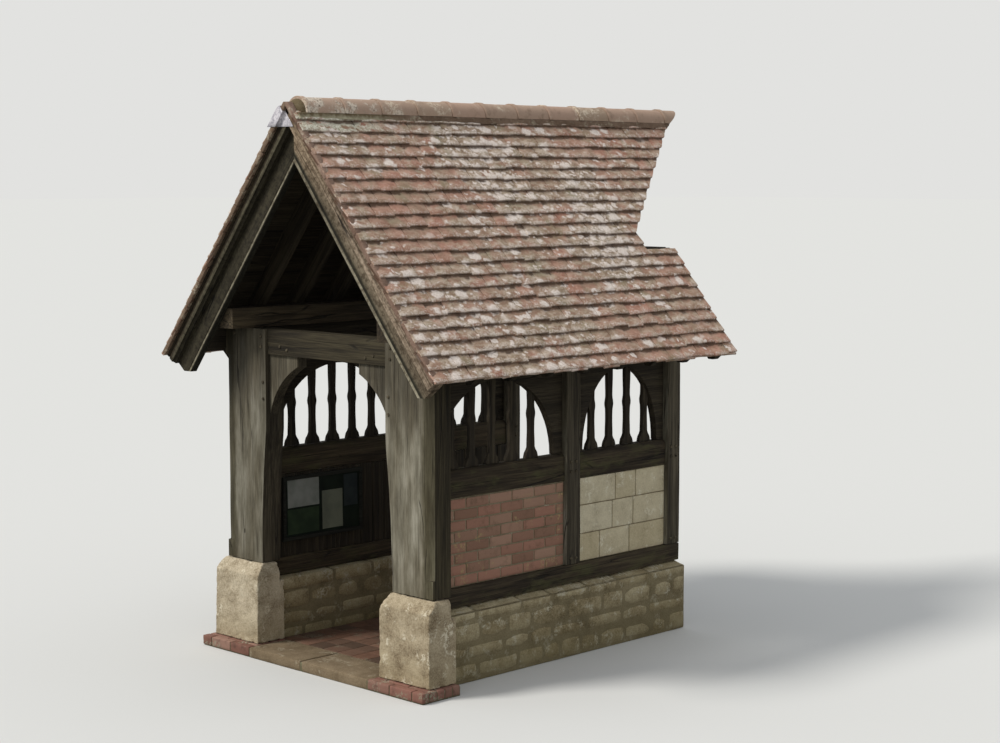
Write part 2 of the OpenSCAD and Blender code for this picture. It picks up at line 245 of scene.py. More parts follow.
def triple(x, y=None, z=None):
    """A vector of three values, or of one value three times."""
    value = next(v for v in (x, y, z) if isinstance(v, Value))
    feeds = (x, x, x) if y is None else (x, y, z)
    return add(value.tree, "ShaderNodeCombineXYZ", dict(enumerate(feeds)))


def own(place, name):
    """A number that the piece carries for each of its stones, tiles or boards."""
    return add(place.tree, "ShaderNodeAttribute", out="Fac", attribute_name=name)


def close_finish(made, colour, height, depth, roughness=None):
    """Joins colour, relief of a depth in metres, and roughness to the shader."""
    colour.into(shader_input(made, "Base Color"))
    if roughness is not None:
        roughness.into(shader_input(made, "Roughness"))
    relief = add(made.node_tree, "ShaderNodeBump", {"Strength": 1.0, "Distance": depth, "Height": height})
    relief.into(shader_input(made, "Normal"))
    return made


def weathered_stone(name, pale, middle, dark, growth, growth_share=0.5, green=(96, 98, 62),
                    blotch=(0.30, 0.50, 0.74)):
    """Limestone or sandstone with pits, blotches, spots of lichen and green near the ground.

    blotch places the dark, the middle and the pale colour."""
    made, spot = new_finish(name, 0.92, 0.2)
    cloud = noise_at(spot, 5.5, 5, 0.6)
    fleck = noise_at(spot, 85, 4, 0.7)
    body = tint(fleck * 0.5 + cloud * 0.62, *zip(blotch, (dark, middle, pale)))
    body = coat(own(spot, "tone") * 0.55, body, middle, "MULTIPLY")
    cells = add(spot.tree, "ShaderNodeTexVoronoi", {"Vector": spot, "Scale": 70, "Randomness": 1})
    pits = between(cells, 0.10, 0.32)
    body = coat(pits * -0.35 + 0.35, body, dark)
    spread = between(noise_at(spot, 9, 3, 0.6), 0.62 - growth_share * 0.24, 0.72 - growth_share * 0.2)
    spots = between(noise_at(spot, 48, 3, 0.75), 0.46, 0.56)
    body = coat(spread * spots, body, growth)
    damp = between(cloud * -0.5 + axes(spot)[2], 0.12, -0.22)
    body = coat(damp * 0.38, body, green)
    return close_finish(made, body, fleck * 0.5 + pits * 0.5, 0.004)


def new_tree(name, **inputs):
    """A Geometry Nodes tree with named inputs, a seed and a finish among them. Returns it and its inputs."""
    tree = bpy.data.node_groups.new(name, "GeometryNodeTree")
    for way in ("INPUT", "OUTPUT"):
        tree.interface.new_socket("Geometry", in_out=way, socket_type="NodeSocketGeometry")
    for label, kind in {**inputs, "Seed": "Int", "Finish": "Material"}.items():
        tree.interface.new_socket(label, in_out="INPUT", socket_type="NodeSocket" + kind)
    return tree, {s.name: Value(s) for s in tree.nodes.new("NodeGroupInput").outputs if s.name}


def close_tree(geometry, finish):
    """Gives the geometry its finish and ends the tree."""
    tree = geometry.tree
    done = add(tree, "GeometryNodeSetMaterial", {"Geometry": geometry, "Material": finish})
    done.into(tree.nodes.new("NodeGroupOutput").inputs["Geometry"])
    return tree


def copies(points, shape, **placing):
    """A copy of a shape on every point."""
    pattern = add(points.tree, "GeometryNodeObjectInfo", {"Object": shape}, "Geometry")
    return add(points.tree, "GeometryNodeInstanceOnPoints", {"Points": points, "Instance": pattern, **placing})


def marked(geometry, name, value):
    """Gives every copy a number of its own, which the piece carries on."""
    return add(geometry.tree, "GeometryNodeStoreNamedAttribute",
               {"Geometry": geometry, "Name": name, "Value": value}, data_type="FLOAT", domain="INSTANCE")


def real(geometry):
    """Turns copies into one mesh."""
    return add(geometry.tree, "GeometryNodeRealizeInstances", {"Geometry": geometry})


def moved(geometry, **move):
    """Sets the Position of every point, or adds an Offset to it."""
    return add(geometry.tree, "GeometryNodeSetPosition", {"Geometry": geometry, **move})


def stir(tree, scale, detail, amount, centre=(0.5, 0.5, 0.5)):
    """A move that wanders from place to place."""
    wave = noise_at(add(tree, "GeometryNodeInputPosition"), scale, detail, 0.5, out=1)
    return (wave - centre) * amount


def named(tree, name):
    """A vector that the points carry."""
    return add(tree, "GeometryNodeInputNamedAttribute", {"Name": name}, data_type="FLOAT_VECTOR")


def drawn(tree, seed, low=0.0, high=1.0, **key):
    """A random number for each copy, or between two tuples a random vector."""
    first, kind = (0, "FLOAT_VECTOR") if isinstance(low, tuple) else (2, "FLOAT")
    feeds = {first: low, first + 1: high, "Seed": seed, **key}
    return add(tree, "FunctionNodeRandomValue", feeds, first // 2, data_type=kind)


def grow(piece, tree, **values):
    """Runs a tree on a piece with values for its named inputs, and keeps the result as plain mesh."""
    step = piece.modifiers.new("grow", "NODES")
    step.node_group = tree
    keys = {s.name: s.identifier for s in tree.interface.items_tree if s.in_out == "INPUT"}
    for label, value in values.items():
        step[keys[label]] = value
    graph = bpy.context.evaluated_depsgraph_get()
    plain = bpy.data.meshes.new_from_object(piece.evaluated_get(graph), preserve_all_data_layers=True,
                                            depsgraph=graph)
    piece.modifiers.clear()
    piece.data = plain
    plain.materials.clear()
    plain.materials.append(values["Finish"])
    plain.polygons.foreach_set("material_index", [0] * len(plain.polygons))
    return piece


def split(bm, point, normal, **how):
    """Draws a line on the faces where a plane crosses them."""
    return bmesh.ops.bisect_plane(bm, geom=bm.verts[:] + bm.edges[:] + bm.faces[:], plane_co=point,
                                  plane_no=normal, **how)


def loose(name, bm):
    """A bmesh as an object outside the scene, for a tree to copy."""
    mesh = bpy.data.meshes.new(name)
    bm.to_mesh(mesh)
    bm.free()
    return bpy.data.objects.new(name, mesh)


def smooth(piece, angle=35):
    """Shades a piece smooth except across its arrises."""
    piece.data.shade_smooth()
    piece.data.set_sharp_from_angle(angle=math.radians(angle))
    return piece


def finished(name, bm, *finishes, angle=35):
    """A bmesh as a piece of the scene."""
    piece = loose(name, bm)
    bpy.context.scene.collection.objects.link(piece)
    for finish in finishes:
        piece.data.materials.append(finish)
    return smooth(piece, angle)


def rounded_block():
    """A unit block with lines near its edges, so that a tree can round it. 'corner' keeps each place."""
    bm = bmesh.new()
    bmesh.ops.create_cube(bm, size=1)
    for axis in (X, Y, Z):
        for line in (-0.46, -0.17, 0.17, 0.46):
            split(bm, axis * line, axis)
    corner = bm.verts.layers.float_vector.new("corner")
    for vert in bm.verts:
        vert[corner] = vert.co
    return loose("unit_block", bm)


def masonry_tree():
    """Puts a block at every point, gives it the point's own size, rounds its arrises and roughens it."""
    tree, given = new_tree("masonry", Block="Object", Round="Float", Heave="Float", Grit="Float")
    size = named(tree, "size")
    laid = copies(given["Geometry"], given["Block"], Scale=size)
    laid = real(marked(laid, "tone", drawn(tree, given["Seed"])))
    reach = named(tree, "corner") * size
    out = reach.reckon("ABSOLUTE")
    limit = size * 0.5 - triple(given["Round"])
    over = (out - limit).reckon("MAXIMUM", (0, 0, 0))
    length = over.reckon("LENGTH", out="Value").reckon("MAXIMUM", 1e-6)
    eased = over * (given["Round"] / length).reckon("MINIMUM", 1.0)
    change = out.reckon("MINIMUM", limit) + eased - out
    laid = moved(laid, Offset=change * reach.reckon("SIGN"))
    laid = moved(laid, Offset=stir(tree, 7.0, 2.0, given["Heave"]) + stir(tree, 38.0, 2.0, given["Grit"]))
    return close_tree(laid, given["Finish"])


UNIT_BLOCK = rounded_block()
MASONRY = masonry_tree()


def points_at(name, places, **carried):
    """An object of bare points that carry named vectors."""
    mesh = bpy.data.meshes.new(name)
    mesh.from_pydata(places, [], [])
    for label, vectors in carried.items():
        mesh.attributes.new(label, "FLOAT_VECTOR", "POINT").data.foreach_set("vector", np.ravel(vectors))
    return in_scene(name, mesh)


def lay(name, boxes, finish, edge, heave=0.0, grit=0.0, seed=1):
    """One mesh of rounded blocks, each filling the box between two corners."""
    lows, highs = (np.array([box[k] for box in boxes], float) for k in (0, 1))
    points = points_at(name, ((lows + highs) / 2).tolist(), size=(highs - lows).astype(np.float32))
    return smooth(grow(points, MASONRY, Block=UNIT_BLOCK, Round=edge, Heave=heave, Grit=grit, Seed=seed,
                       Finish=finish))


def joined(name, parts):
    """Several meshes as one piece."""
    bm = bmesh.new()
    finishes = []
    for part in parts:
        finish = part.data.materials[0]
        if finish not in finishes:
            finishes.append(finish)
        before = len(bm.faces)
        bm.from_mesh(part.data)
        bm.faces.ensure_lookup_table()
        for face in bm.faces[before:]:
            face.material_index = finishes.index(finish)
        bpy.data.objects.remove(part)
    return finished(name, bm, *finishes)


def press(piece, axis, low, high=math.inf):
    """Moves what stands out past two planes back to them. axis is 0, 1 or 2."""
    for vert in piece.data.vertices:
        vert.co[axis] = min(max(vert.co[axis], low), high)


def fix(piece, slot, *nodes):
    """The piece stands still with the porch and stands for the named solids."""
    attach(piece, "root")
    if nodes:
        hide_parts(*nodes)
    return piece


def fired_clay(name, reds, growth, growth_share, gloss=0.8, soot=(52, 42, 34)):
    """Hand-made clay: every tile or brick has its own red, with kiln marks, grit and lichen."""
    made, spot = new_finish(name, gloss, 0.35)
    body = tint(own(spot, "tone"), *[((i + 0.5) / len(reds), c) for i, c in enumerate(reds)])
    cloud = noise_at(spot, 14, 4, 0.65)
    body = coat(between(cloud, 0.5, 0.78) * 0.55, body, soot)
    grit = noise_at(spot, 260, 3, 0.7)
    body = shadow(0.35, body, grit, (0.3, (0.45, 0.45, 0.45, 1)), (0.7, (1, 1, 1, 1)))
    spread = between(noise_at(spot, 6, 3, 0.6), 0.66 - growth_share * 0.3, 0.74 - growth_share * 0.25)
    spots = between(noise_at(spot, 55, 3, 0.75), 0.47, 0.55)
    body = coat(spread * spots, body, growth)
    return close_finish(made, body, grit * 0.5 + cloud, 0.0025)


SLAB_STONE = weathered_stone("slab stone", (176, 160, 134), (142, 127, 104), (98, 84, 64), (172, 162, 140), 0.3,
                             (120, 102, 78), (0.38, 0.52, 0.68))
PAVING_CLAY = fired_clay("paving clay", [(150, 106, 92), (128, 88, 74), (160, 124, 108)], (150, 142, 122), 0.5)
BED_MORTAR = weathered_stone("bedding mortar", (140, 132, 112), (112, 103, 84), (80, 72, 58), (150, 146, 128), 0.3)

THRESHOLD_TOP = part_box("threshold")[1].z
THRESHOLD_FRONT, THRESHOLD_BACK, THRESHOLD_HALF = 0.140, 0.490, 1.190
SLAB_HALF = 0.640
PAVER_FROM, PAVER_LONG, PAVER_PITCH, PAVER_BOND = SLAB_HALF + 0.006, 0.214, 0.222, 0.11
PAVER_WIDE, PAVER_ROW = 0.063, 0.070
slabs = lay("slabs", [(at(-SLAB_HALF, THRESHOLD_FRONT, 0), at(-0.07, THRESHOLD_BACK, THRESHOLD_TOP)),
                      (at(-0.062, THRESHOLD_FRONT + 0.004, 0), at(SLAB_HALF, THRESHOLD_BACK, THRESHOLD_TOP - 0.002))],
            SLAB_STONE, 0.010, 0.006, 0.003, seed=3)
pavers = []
for side in (-1, 1):
    for row in range(5):
        for k in range(3):
            start = PAVER_FROM + k * PAVER_PITCH - (PAVER_BOND if row % 2 else 0)
            end = min(start + PAVER_LONG, THRESHOLD_HALF)
            start = max(start, PAVER_FROM)
            if end - start > 0.03:
                near = THRESHOLD_FRONT + row * PAVER_ROW
                low, high = sorted((side * start, side * end))
                pavers.append((at(low, near, 0.008), at(high, near + PAVER_WIDE, THRESHOLD_TOP)))
edging = lay("edging", pavers, PAVING_CLAY, 0.006, 0.004, 0.003, seed=5)
bedding = lay("bedding", [(at(-THRESHOLD_HALF + 0.004, THRESHOLD_FRONT + 0.006, 0),
                           at(THRESHOLD_HALF - 0.004, THRESHOLD_BACK, THRESHOLD_TOP - 0.010))], BED_MORTAR, 0.004)
paving = joined("threshold_paving", [slabs, edging, bedding])
press(paving, 2, 0)
fix(paving, "threshold_stone", "threshold")

# Padstones: one block of pale limestone under each front post, tapered and weathered at the top
# so that rain runs off the joint. The arrises are worn round and the faces pitted.


def bare_copy(node):
    """The CAD solid of a node, merged into whole faces, ready to be worked."""
    bm = bmesh.new()
    bm.from_mesh(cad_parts[node].data)
    bmesh.ops.remove_doubles(bm, verts=bm.verts, dist=2e-5)
    bmesh.ops.dissolve_limit(bm, angle_limit=math.radians(0.6), verts=bm.verts, edges=bm.edges)
    return bm


def cut_lines(bm, axis, step):
    """Draws lines across the faces every step along an axis."""
    axis = Vector(axis).normalized()
    reach = [v.co.dot(axis) for v in bm.verts]
    low, high = min(reach), max(reach)
    count = int((high - low) / step)
    for k in range(1, count + 1):
        split(bm, axis * (low + (high - low) * k / (count + 1)), axis)


def wear(bm, amount, stretch, seed, pits):
    """Takes a little off every face, more here and less there, and sinks pits of the given depth."""
    bm.normal_update()
    moves = []
    for vert in bm.verts:
        place = Vector([c * s for c, s in zip(vert.co, stretch)]) + Vector((seed, seed * 0.7, -seed))
        wave = 0.65 * noise.noise(place) + 0.35 * noise.noise(place * 3.1)
        sunk = pits * min(max(noise.noise(place * 3.7 + Vector((9, 4, 2))) * 2.4 - 0.35, 0), 1) if pits else 0
        moves.append(vert.normal * -(amount * min(max(0.5 + 0.9 * wave, 0), 1) + sunk))
    for vert, move in zip(bm.verts, moves):
        vert.co += move


def worked(name, node, finish, lines, edge, amount, stretch, segments=2, pits=0.0):
    """A CAD solid with its arrises eased, its faces cut up by lines and worn uneven.

    lines maps directions to the steps between lines across them. The piece carries a tone, and for
    each face how much it looks out from the gable: oak turns grey on such faces and is painted darker
    as shade on the others."""
    bm = bare_copy(node)
    arrises = [e for e in bm.edges if len(e.link_faces) == 2 and e.calc_face_angle() > math.radians(28)]
    bmesh.ops.bevel(bm, geom=arrises, offset=edge, segments=segments, profile=0.6, affect="EDGES",
                    clamp_overlap=True)
    for axis, step in lines.items():
        cut_lines(bm, {"x": X, "y": Y, "z": Z}.get(axis, axis), step)
    bmesh.ops.recalc_face_normals(bm, faces=bm.faces)
    seed = (sum(ord(c) for c in node) % 37) * 1.7
    wear(bm, amount, stretch, seed, pits)
    tone = bm.verts.layers.float.new("tone")
    for vert in bm.verts:
        vert[tone] = (seed * 0.37) % 1
    bm.normal_update()
    # How much each face looks out from the gable: grey oak there, painted shade on the other faces
    weather_and_shade = bm.faces.layers.float.new("weather_and_shade")
    for face in bm.faces:
        face[weather_and_shade] = max(-face.normal.y, 0)
    return finished(name, bm, finish, angle=30)


BLOCK_STONE = weathered_stone("block stone", (216, 204, 180), (183, 170, 146), (128, 112, 89), (216, 206, 182), 0.3,
                              (164, 150, 116), (0.40, 0.53, 0.66))
SIDES = (("left", -1), ("right", 1))
for side, _ in SIDES:
    stone = worked(f"block_{side}", f"padstone_{side}", BLOCK_STONE, dict.fromkeys("xyz", 0.016), 0.012, 0.007,
                   (9, 9, 9), segments=3, pits=0.007)
    fix(stone, "block_stone", f"padstone_{side}")

# Low side walls: coursed stone through the whole thickness, laid in lime mortar, with a top course
# of longer stones whose outer edge slopes away from the oak sill.

WALL_STONE = weathered_stone("wall stone", (196, 184, 152), (162, 148, 116), (108, 96, 70), (188, 180, 156), 0.45,
                             (122, 112, 76), (0.38, 0.52, 0.68))
WALL_MORTAR = weathered_stone("wall mortar", (160, 148, 118), (132, 120, 92), (92, 82, 58), (160, 152, 128), 0.35,
                              (110, 100, 68))
WALL_IN, WALL_OUT, WALL_TOP = 0.700, 1.000, 0.520
WALL_FROM, WALL_TO = 0.490, 3.080
SILL_OUT, LEDGE_DROP = 0.930, 0.045
COURSES = (0.0, 0.150, 0.272, 0.412, WALL_TOP)


def coursed(low, high, heights, widths, draw, joint):
    """Boxes of stones laid in courses between two corners, each course broken over the last."""
    boxes = []
    for bottom, top in zip(heights, heights[1:]):
        y = low[1]
        while y < high[1] - 0.02:
            end = y + draw.uniform(*widths)
            if high[1] - end < widths[0] * 0.6:
                end = high[1]
            boxes.append((Vector((low[0], y + joint / 2, bottom + joint / 2)),
                          Vector((high[0], end - joint / 2, top - joint / 2 * (top < heights[-1])))))
            y = end
    return boxes


for side, sign in SIDES:
    draw = random.Random(f"wall {side}")
    near, far = sorted((sign * WALL_IN, sign * WALL_OUT))
    low, high = at(near, WALL_FROM, 0), at(far, WALL_TO, WALL_TOP)
    boxes = coursed(low, high, COURSES[:-1], (0.16, 0.40), draw, 0.012)
    boxes += coursed(low, high, COURSES[-2:], (0.30, 0.52), draw, 0.010)
    for first, last in boxes:
        first.x += draw.uniform(0.0, 0.007)
        last.x -= draw.uniform(0.0, 0.007)
        if last.z < COURSES[-2]:
            first.z += draw.uniform(0.0, 0.016)
            last.z -= draw.uniform(0.0, 0.010)
    stones = lay(f"stones_{side}", boxes, WALL_STONE, 0.030, 0.016, 0.008, seed=11)
    core = lay(f"core_{side}", [(low + Vector((0.011, 0.004, 0)), high - Vector((0.011, 0.004, 0.012)))],
               WALL_MORTAR, 0.01, 0.004, 0.004)
    wall = joined(f"stone_wall_{side}", [stones, core])
    press(wall, 0, near, far)
    for vert in wall.data.vertices:
        past = abs(vert.co.x) - SILL_OUT
        vert.co.z = max(min(vert.co.z, WALL_TOP - max(past, 0) / (WALL_OUT - SILL_OUT) * LEDGE_DROP), 0)
    fix(wall, "wall_stone", f"dwarf_wall_{side}")

# Floor: square quarry tiles of red clay, worn and dusty, laid in straight rows on a mortar bed.

FLOOR_CLAY = fired_clay("floor clay", [(116, 84, 66), (98, 72, 56), (128, 96, 78), (88, 68, 54)], (120, 110, 92),
                        0.35, 0.72)
FLOOR_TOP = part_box("floor")[1].z
FLOOR_COLUMNS, FLOOR_ROWS, FLOOR_JOINT = 9, 17, 0.003
QUARRY_WIDE, QUARRY_LONG = 0.1556, (WALL_TO - WALL_FROM) / FLOOR_ROWS
quarries = []
for i in range(FLOOR_COLUMNS):
    for j in range(FLOOR_ROWS):
        x, y = -WALL_IN + i * QUARRY_WIDE, WALL_FROM + j * QUARRY_LONG
        quarries.append((at(x + FLOOR_JOINT, y + FLOOR_JOINT, FLOOR_TOP - 0.03),
                         at(x + QUARRY_WIDE - FLOOR_JOINT, y + QUARRY_LONG - FLOOR_JOINT, FLOOR_TOP)))
quarry = lay("quarry", quarries, FLOOR_CLAY, 0.003, 0.003, 0.0008, seed=23)
screed = lay("screed", [(at(-WALL_IN, WALL_FROM, 0), at(WALL_IN, WALL_TO, FLOOR_TOP - 0.005))], BED_MORTAR, 0.002)
floor_piece = joined("quarry_floor", [quarry, screed])
press(floor_piece, 2, 0, FLOOR_TOP)
fix(floor_piece, "floor_clay", "floor")

# Oak frame: sills, posts, rails, plates, braces and tie beams, hewn and left to turn grey where rain
# reaches them, and painted darker as shade elsewhere.
# Tenons are held by oak pegs that stand a little proud of the posts.


def oak(name, pale, middle, dark, along, pitch=0.0, moss=0.0, silver=None, over=None):
    """Oak with its grain along x, y or z, turned by the roof's pitch where it slopes.

    silver gives the colours of the faces that look out from the gable into the rain, weathered grey,
    while the other faces keep the darker colours as painted shade; over changes the colour by the place
    on the piece."""
    made, place = new_finish(name, 0.82, 0.25)
    spot = add(place.tree, "ShaderNodeMapping", {"Vector": place, "Rotation": (0, pitch, 0)}) if pitch else place

    def drawn_out(across, length):
        return spot * tuple(length if axis == along else across for axis in "xyz")

    def grain(across, length, *noise_form):
        return noise_at(drawn_out(across, length), 1.0, *noise_form)

    fibre = grain(150, 3.5, 4, 0.6)
    figure = grain(26, 1.1, 4, 0.55, 0.6)
    board = grain(5, 0.8, 2, 0.5)
    mixed = fibre * 0.42 + (figure * 0.38 + board * 0.22)
    body = tint(mixed, (0.40, dark), (0.51, middle), (0.62, pale))
    if silver:
        streak = grain(15, 2.6, 5, 0.68)
        rain = tint(mixed * 0.42 + streak * 0.60, *zip((0.34, 0.51, 0.70), reversed(silver)))
        broad = grain(6.5, 1.3, 3, 0.55)
        rain = shadow(0.8, rain, broad, (0.38, (0.56, 0.52, 0.45, 1)), (0.58, (1, 1, 1, 1)))
        # Less grey towards the top of the posts: sheltered from the rain, and painted shade under the roof
        shelter_and_shade = between(axes(place)[2], 2.10, 1.60) * 0.72 + 0.28
        body = coat(between(own(spot, "weather_and_shade"), 0.4, 0.8) * shelter_and_shade, body, rain)
    body = coat(own(spot, "tone") * 0.3, body, dark, "MULTIPLY")
    shifted = drawn_out(17, 0.75) + triple(grain(7, 1.6, 2, 0.5))
    edge = add(spot.tree, "ShaderNodeTexVoronoi", {"Vector": shifted, "Scale": 1.0}, feature="DISTANCE_TO_EDGE")
    crack = between(edge, 0.035, 0.010) * between(grain(9, 1.0, 2, 0.5), 0.50, 0.62)
    body = coat(crack * 0.85, body, (24, 20, 15))
    if moss:
        patch = between(grain(9, 3, 4, 0.65), 0.56 - moss * 0.2, 0.70)
        body = coat(patch * 0.7, body, (80, 78, 50))
    if over:
        body = over(body, place)
    return close_finish(made, body, crack * -1.6 + (figure * 0.7 + fibre), 0.0035)


def dark_arris(body, place):
    """The outer edge of the front posts is darker and brown-green."""
    reach = noise_at(place, 9, 3, 0.6) * 0.05 + axes(place)[0].reckon("ABSOLUTE")
    return coat(between(reach, 1.010, 1.055) * 0.85, body, (0.40, 0.38, 0.28, 1), "MULTIPLY")


def timber(name, node, slot, *working):
    """A piece of the frame or roof, worked from its CAD solid and fixed."""
    return fix(worked(name, node, *working), slot, node)


# DARK_OAK is dark oak, painted darker still as shade, for the parts inside the porch and under the roof.
# GREY_OAK is the weathered grey of the post and brace faces toward the gable; the darker post colours on their other
# faces are painted shade.
# SHADED_OAK is painted shade on the sills, rails and plates under the eaves; the tie beams are painted dark as shade
# under the gable.
GREY_OAK = [(180, 175, 160), (129, 124, 108), (70, 63, 51)]
SHADED_OAK = [(96, 84, 64), (68, 58, 44), (38, 31, 24)]
DARK_OAK = [(78, 70, 55), (54, 47, 36), (30, 26, 20)]
oak_posts = oak("oak post", (104, 96, 79), (75, 68, 55), (42, 37, 29), "z", silver=GREY_OAK, over=dark_arris)
oak_rails = oak("oak rail", *SHADED_OAK, "y", moss=0.40)
oak_plates = oak("oak plate", *SHADED_OAK, "y")
oak_ties = oak("oak tie", (88, 80, 60), (62, 55, 41), (34, 29, 21), "x")

for side, _ in SIDES:
    for post in ("front_post", "mid_post", "rear_post"):
        timber(f"oak_{post}_{side}", f"{post}_{side}", "oak_grey", oak_posts, {"z": 0.09, "x": 0.05, "y": 0.05},
               0.006, 0.004, (10, 10, 2.5))
    for rail, finish in (("sill_beam", oak_rails), ("mid_rail", oak_rails), ("wall_plate", oak_plates)):
        timber(f"oak_{rail}_{side}", f"{rail}_{side}", "oak_grey", finish, {"y": 0.10, "z": 0.06}, 0.006, 0.004,
               (10, 2.5, 10))
    timber(f"oak_brace_{side}", f"entrance_brace_{side}", "oak_grey", oak_posts, {"z": 0.06}, 0.005, 0.003,
           (10, 10, 3))
for beam in ("tie_beam_front", "tie_beam_rear"):
    timber(f"oak_{beam}", beam, "oak_grey", oak_ties, {"x": 0.09, "z": 0.05}, 0.006, 0.004, (2.5, 10, 10))


def peg_tree():
    """Puts a peg at every point, turned to the point's own direction."""
    tree, given = new_tree("pegs", Peg="Object", Size="Float")
    aimed = add(tree, "FunctionNodeAlignRotationToVector", {"Vector": named(tree, "facing")}, axis="Z")
    turn = triple(0.0, 0.0, drawn(tree, given["Seed"], 0.0, 3.0))
    rotation = add(tree, "FunctionNodeRotateRotation", {0: aimed, 1: turn}, rotation_space="LOCAL")
    put = copies(given["Geometry"], given["Peg"], Rotation=rotation, Scale=triple(given["Size"]))
    return close_tree(real(put), given["Finish"])


def tube(rings):
    """A solid through closed rings of places."""
    bm = bmesh.new()
    rings = [[bm.verts.new(place) for place in ring] for ring in rings]
    for low, high in zip(rings, rings[1:]):
        for k in range(len(low)):
            n = (k + 1) % len(low)
            bm.faces.new((low[k], low[n], high[n], high[k]))
    bm.faces.new(rings[-1])
    bm.faces.new(rings[0][::-1])
    return bm


def peg_shape():
    """A riven peg with eight uneven flats, a blunt end, and a unit diameter."""
    turns = [math.pi / 4 * k + 0.1 * math.sin(k * 2.3) for k in range(8)]
    return loose("peg", tube([[(r * math.cos(a), r * math.sin(a) * 0.94, z) for a in turns]
                              for z, r in ((-0.5, 0.5), (0.22, 0.49), (0.32, 0.40))]))


POST_FRONT, TIE_FRONT, POST_OUTSIDE, POST_INSIDE = 0.322, 0.342, 0.928, 0.772
spots, ways = [], []
for sign in (-1, 1):
    for x, y, z in ((0.690, POST_FRONT, 2.310), (0.690, POST_FRONT, 2.235), (0.672, POST_FRONT, 1.860),
                    (0.672, POST_FRONT, 1.980), (1.00, POST_FRONT, 2.32), (0.42, TIE_FRONT, 2.225),
                    (0.50, TIE_FRONT, 2.245)):
        spots.append(at(sign * x, y, z))
        ways.append(-Y)
    for face, way in ((POST_OUTSIDE, 1), (POST_INSIDE, -1)):
        for y in (1.855, 1.910, 2.975, 3.030):
            for z in (1.335, 1.405, 0.700, 2.325):
                spots.append(at(sign * face, y, z))
                ways.append(X * sign * way)
PEG_OAK = oak("oak peg", (112, 102, 84), (82, 74, 58), (48, 41, 32), "y")
pegs = points_at("frame_pegs", spots, facing=np.array(ways, np.float32))
fix(grow(pegs, peg_tree(), Peg=peg_shape(), Size=0.024, Seed=4, Finish=PEG_OAK), "oak_grey")

# Panels between sill and rail: brick in the front bays and pale stone in the rear bays, a
# hundred millimetres thick, flush-pointed. Upright boards line them inside.

PANEL_CLAY = fired_clay("panel brick", [(172, 126, 106), (156, 118, 98), (178, 142, 120), (148, 112, 92)],
                        (176, 154, 110), 0.3, 0.85, (104, 84, 66))
PANEL_STONE = weathered_stone("panel stone", (232, 222, 194), (210, 199, 171), (168, 155, 129), (226, 218, 194), 0.4)
PANEL_LIME = weathered_stone("panel pointing", (166, 154, 130), (140, 128, 104), (104, 94, 74), (170, 162, 140), 0.3)
LINING_OAK = oak("lining oak", *DARK_OAK, "z")
BAYS = ((0.490, 1.810), (1.955, 2.935))
PANEL_LOW, PANEL_HIGH = 0.655, 1.270
PANEL_IN, PANEL_OUT, LINING_IN, PLANK = 0.800, 0.900, 0.775, 0.118
BRICK_COURSE, BRICK_TALL, BRICK_LONG, BRICK_JOINT = 0.0762, 0.066, 0.225, 0.005
ASHLAR_BEDS = (PANEL_LOW, 0.86, 1.07, PANEL_HIGH)
for side, sign in SIDES:
    draw = random.Random(f"panel {side}")
    near, far = sorted((sign * (PANEL_IN + 0.004), sign * PANEL_OUT))
    (from_y, to_y), (rear_from, rear_to) = BAYS
    bricks = []
    for course in range(8):
        z = PANEL_LOW + 0.006 + course * BRICK_COURSE
        y = from_y - (BRICK_LONG / 2 if course % 2 else 0)
        while y < to_y:
            start, end = max(y, from_y) + BRICK_JOINT, min(y + BRICK_LONG, to_y) - BRICK_JOINT
            if end - start > 0.03:
                bricks.append((at(near, start, z), at(far - 0.001 * draw.random(), end, z + BRICK_TALL)))
            y += BRICK_LONG
    brickwork = lay(f"bricks_{side}", bricks, PANEL_CLAY, 0.005, 0.004, 0.003, seed=31)
    stones = coursed(at(near, rear_from, PANEL_LOW), at(far, rear_to, PANEL_HIGH), ASHLAR_BEDS, (0.22, 0.42), draw,
                     0.008)
    stonework = lay(f"ashlar_{side}", stones, PANEL_STONE, 0.006, 0.005, 0.003, seed=37)
    beds = [(at(near + 0.006, start, PANEL_LOW), at(far - 0.006, end, PANEL_HIGH)) for start, end in BAYS]
    bed = lay(f"pointing_{side}", beds, PANEL_LIME, 0.001)
    panel = joined(f"panel_masonry_{side}", [brickwork, stonework, bed])
    fix(panel, "panel_brick", f"infill_panels_{side}")
    planks = []
    low, high = sorted((sign * LINING_IN, sign * (PANEL_IN - 0.0005)))
    for start, end in BAYS:
        count = round((end - start) / PLANK)
        width = (end - start) / count
        for k in range(count):
            y = start + k * width
            nudge = draw.uniform(0, 0.0025)
            planks.append((at(low + nudge, y + 0.001, PANEL_LOW),
                           at(high - nudge * 0.2, y + width - 0.001, PANEL_HIGH)))
    boards = lay(f"lining_boards_{side}", planks, LINING_OAK, 0.004, 0.002, 0.0, seed=41)
    fix(boards, "oak_dark", f"inner_boarding_{side}")

# Notice board: a painted frame screwed to the lining, with bare sheets of paper pinned to its
# green baize. The sheets carry no writing.

BOARD_FRAME = oak("board frame", (52, 54, 46), (38, 39, 34), (22, 22, 18), "y")
timber("notice_frame", "notice_board", "board_paint", BOARD_FRAME, {"y": 0.12}, 0.002, 0.0008, (4, 2, 4))


def sheet_finish(name, colour, shade):
    """Paper or cloth that has faded unevenly."""
    made, spot = new_finish(name, 0.9, 0.1)
    cloud = noise_at(spot, 7, 3, 0.5)
    fibre = noise_at(spot, 420, 2, 0.6)
    body = coat(between(cloud, 0.35, 0.7), colour, shade)
    return close_finish(made, coat(fibre * 0.25, body, shade), fibre, 0.0006)


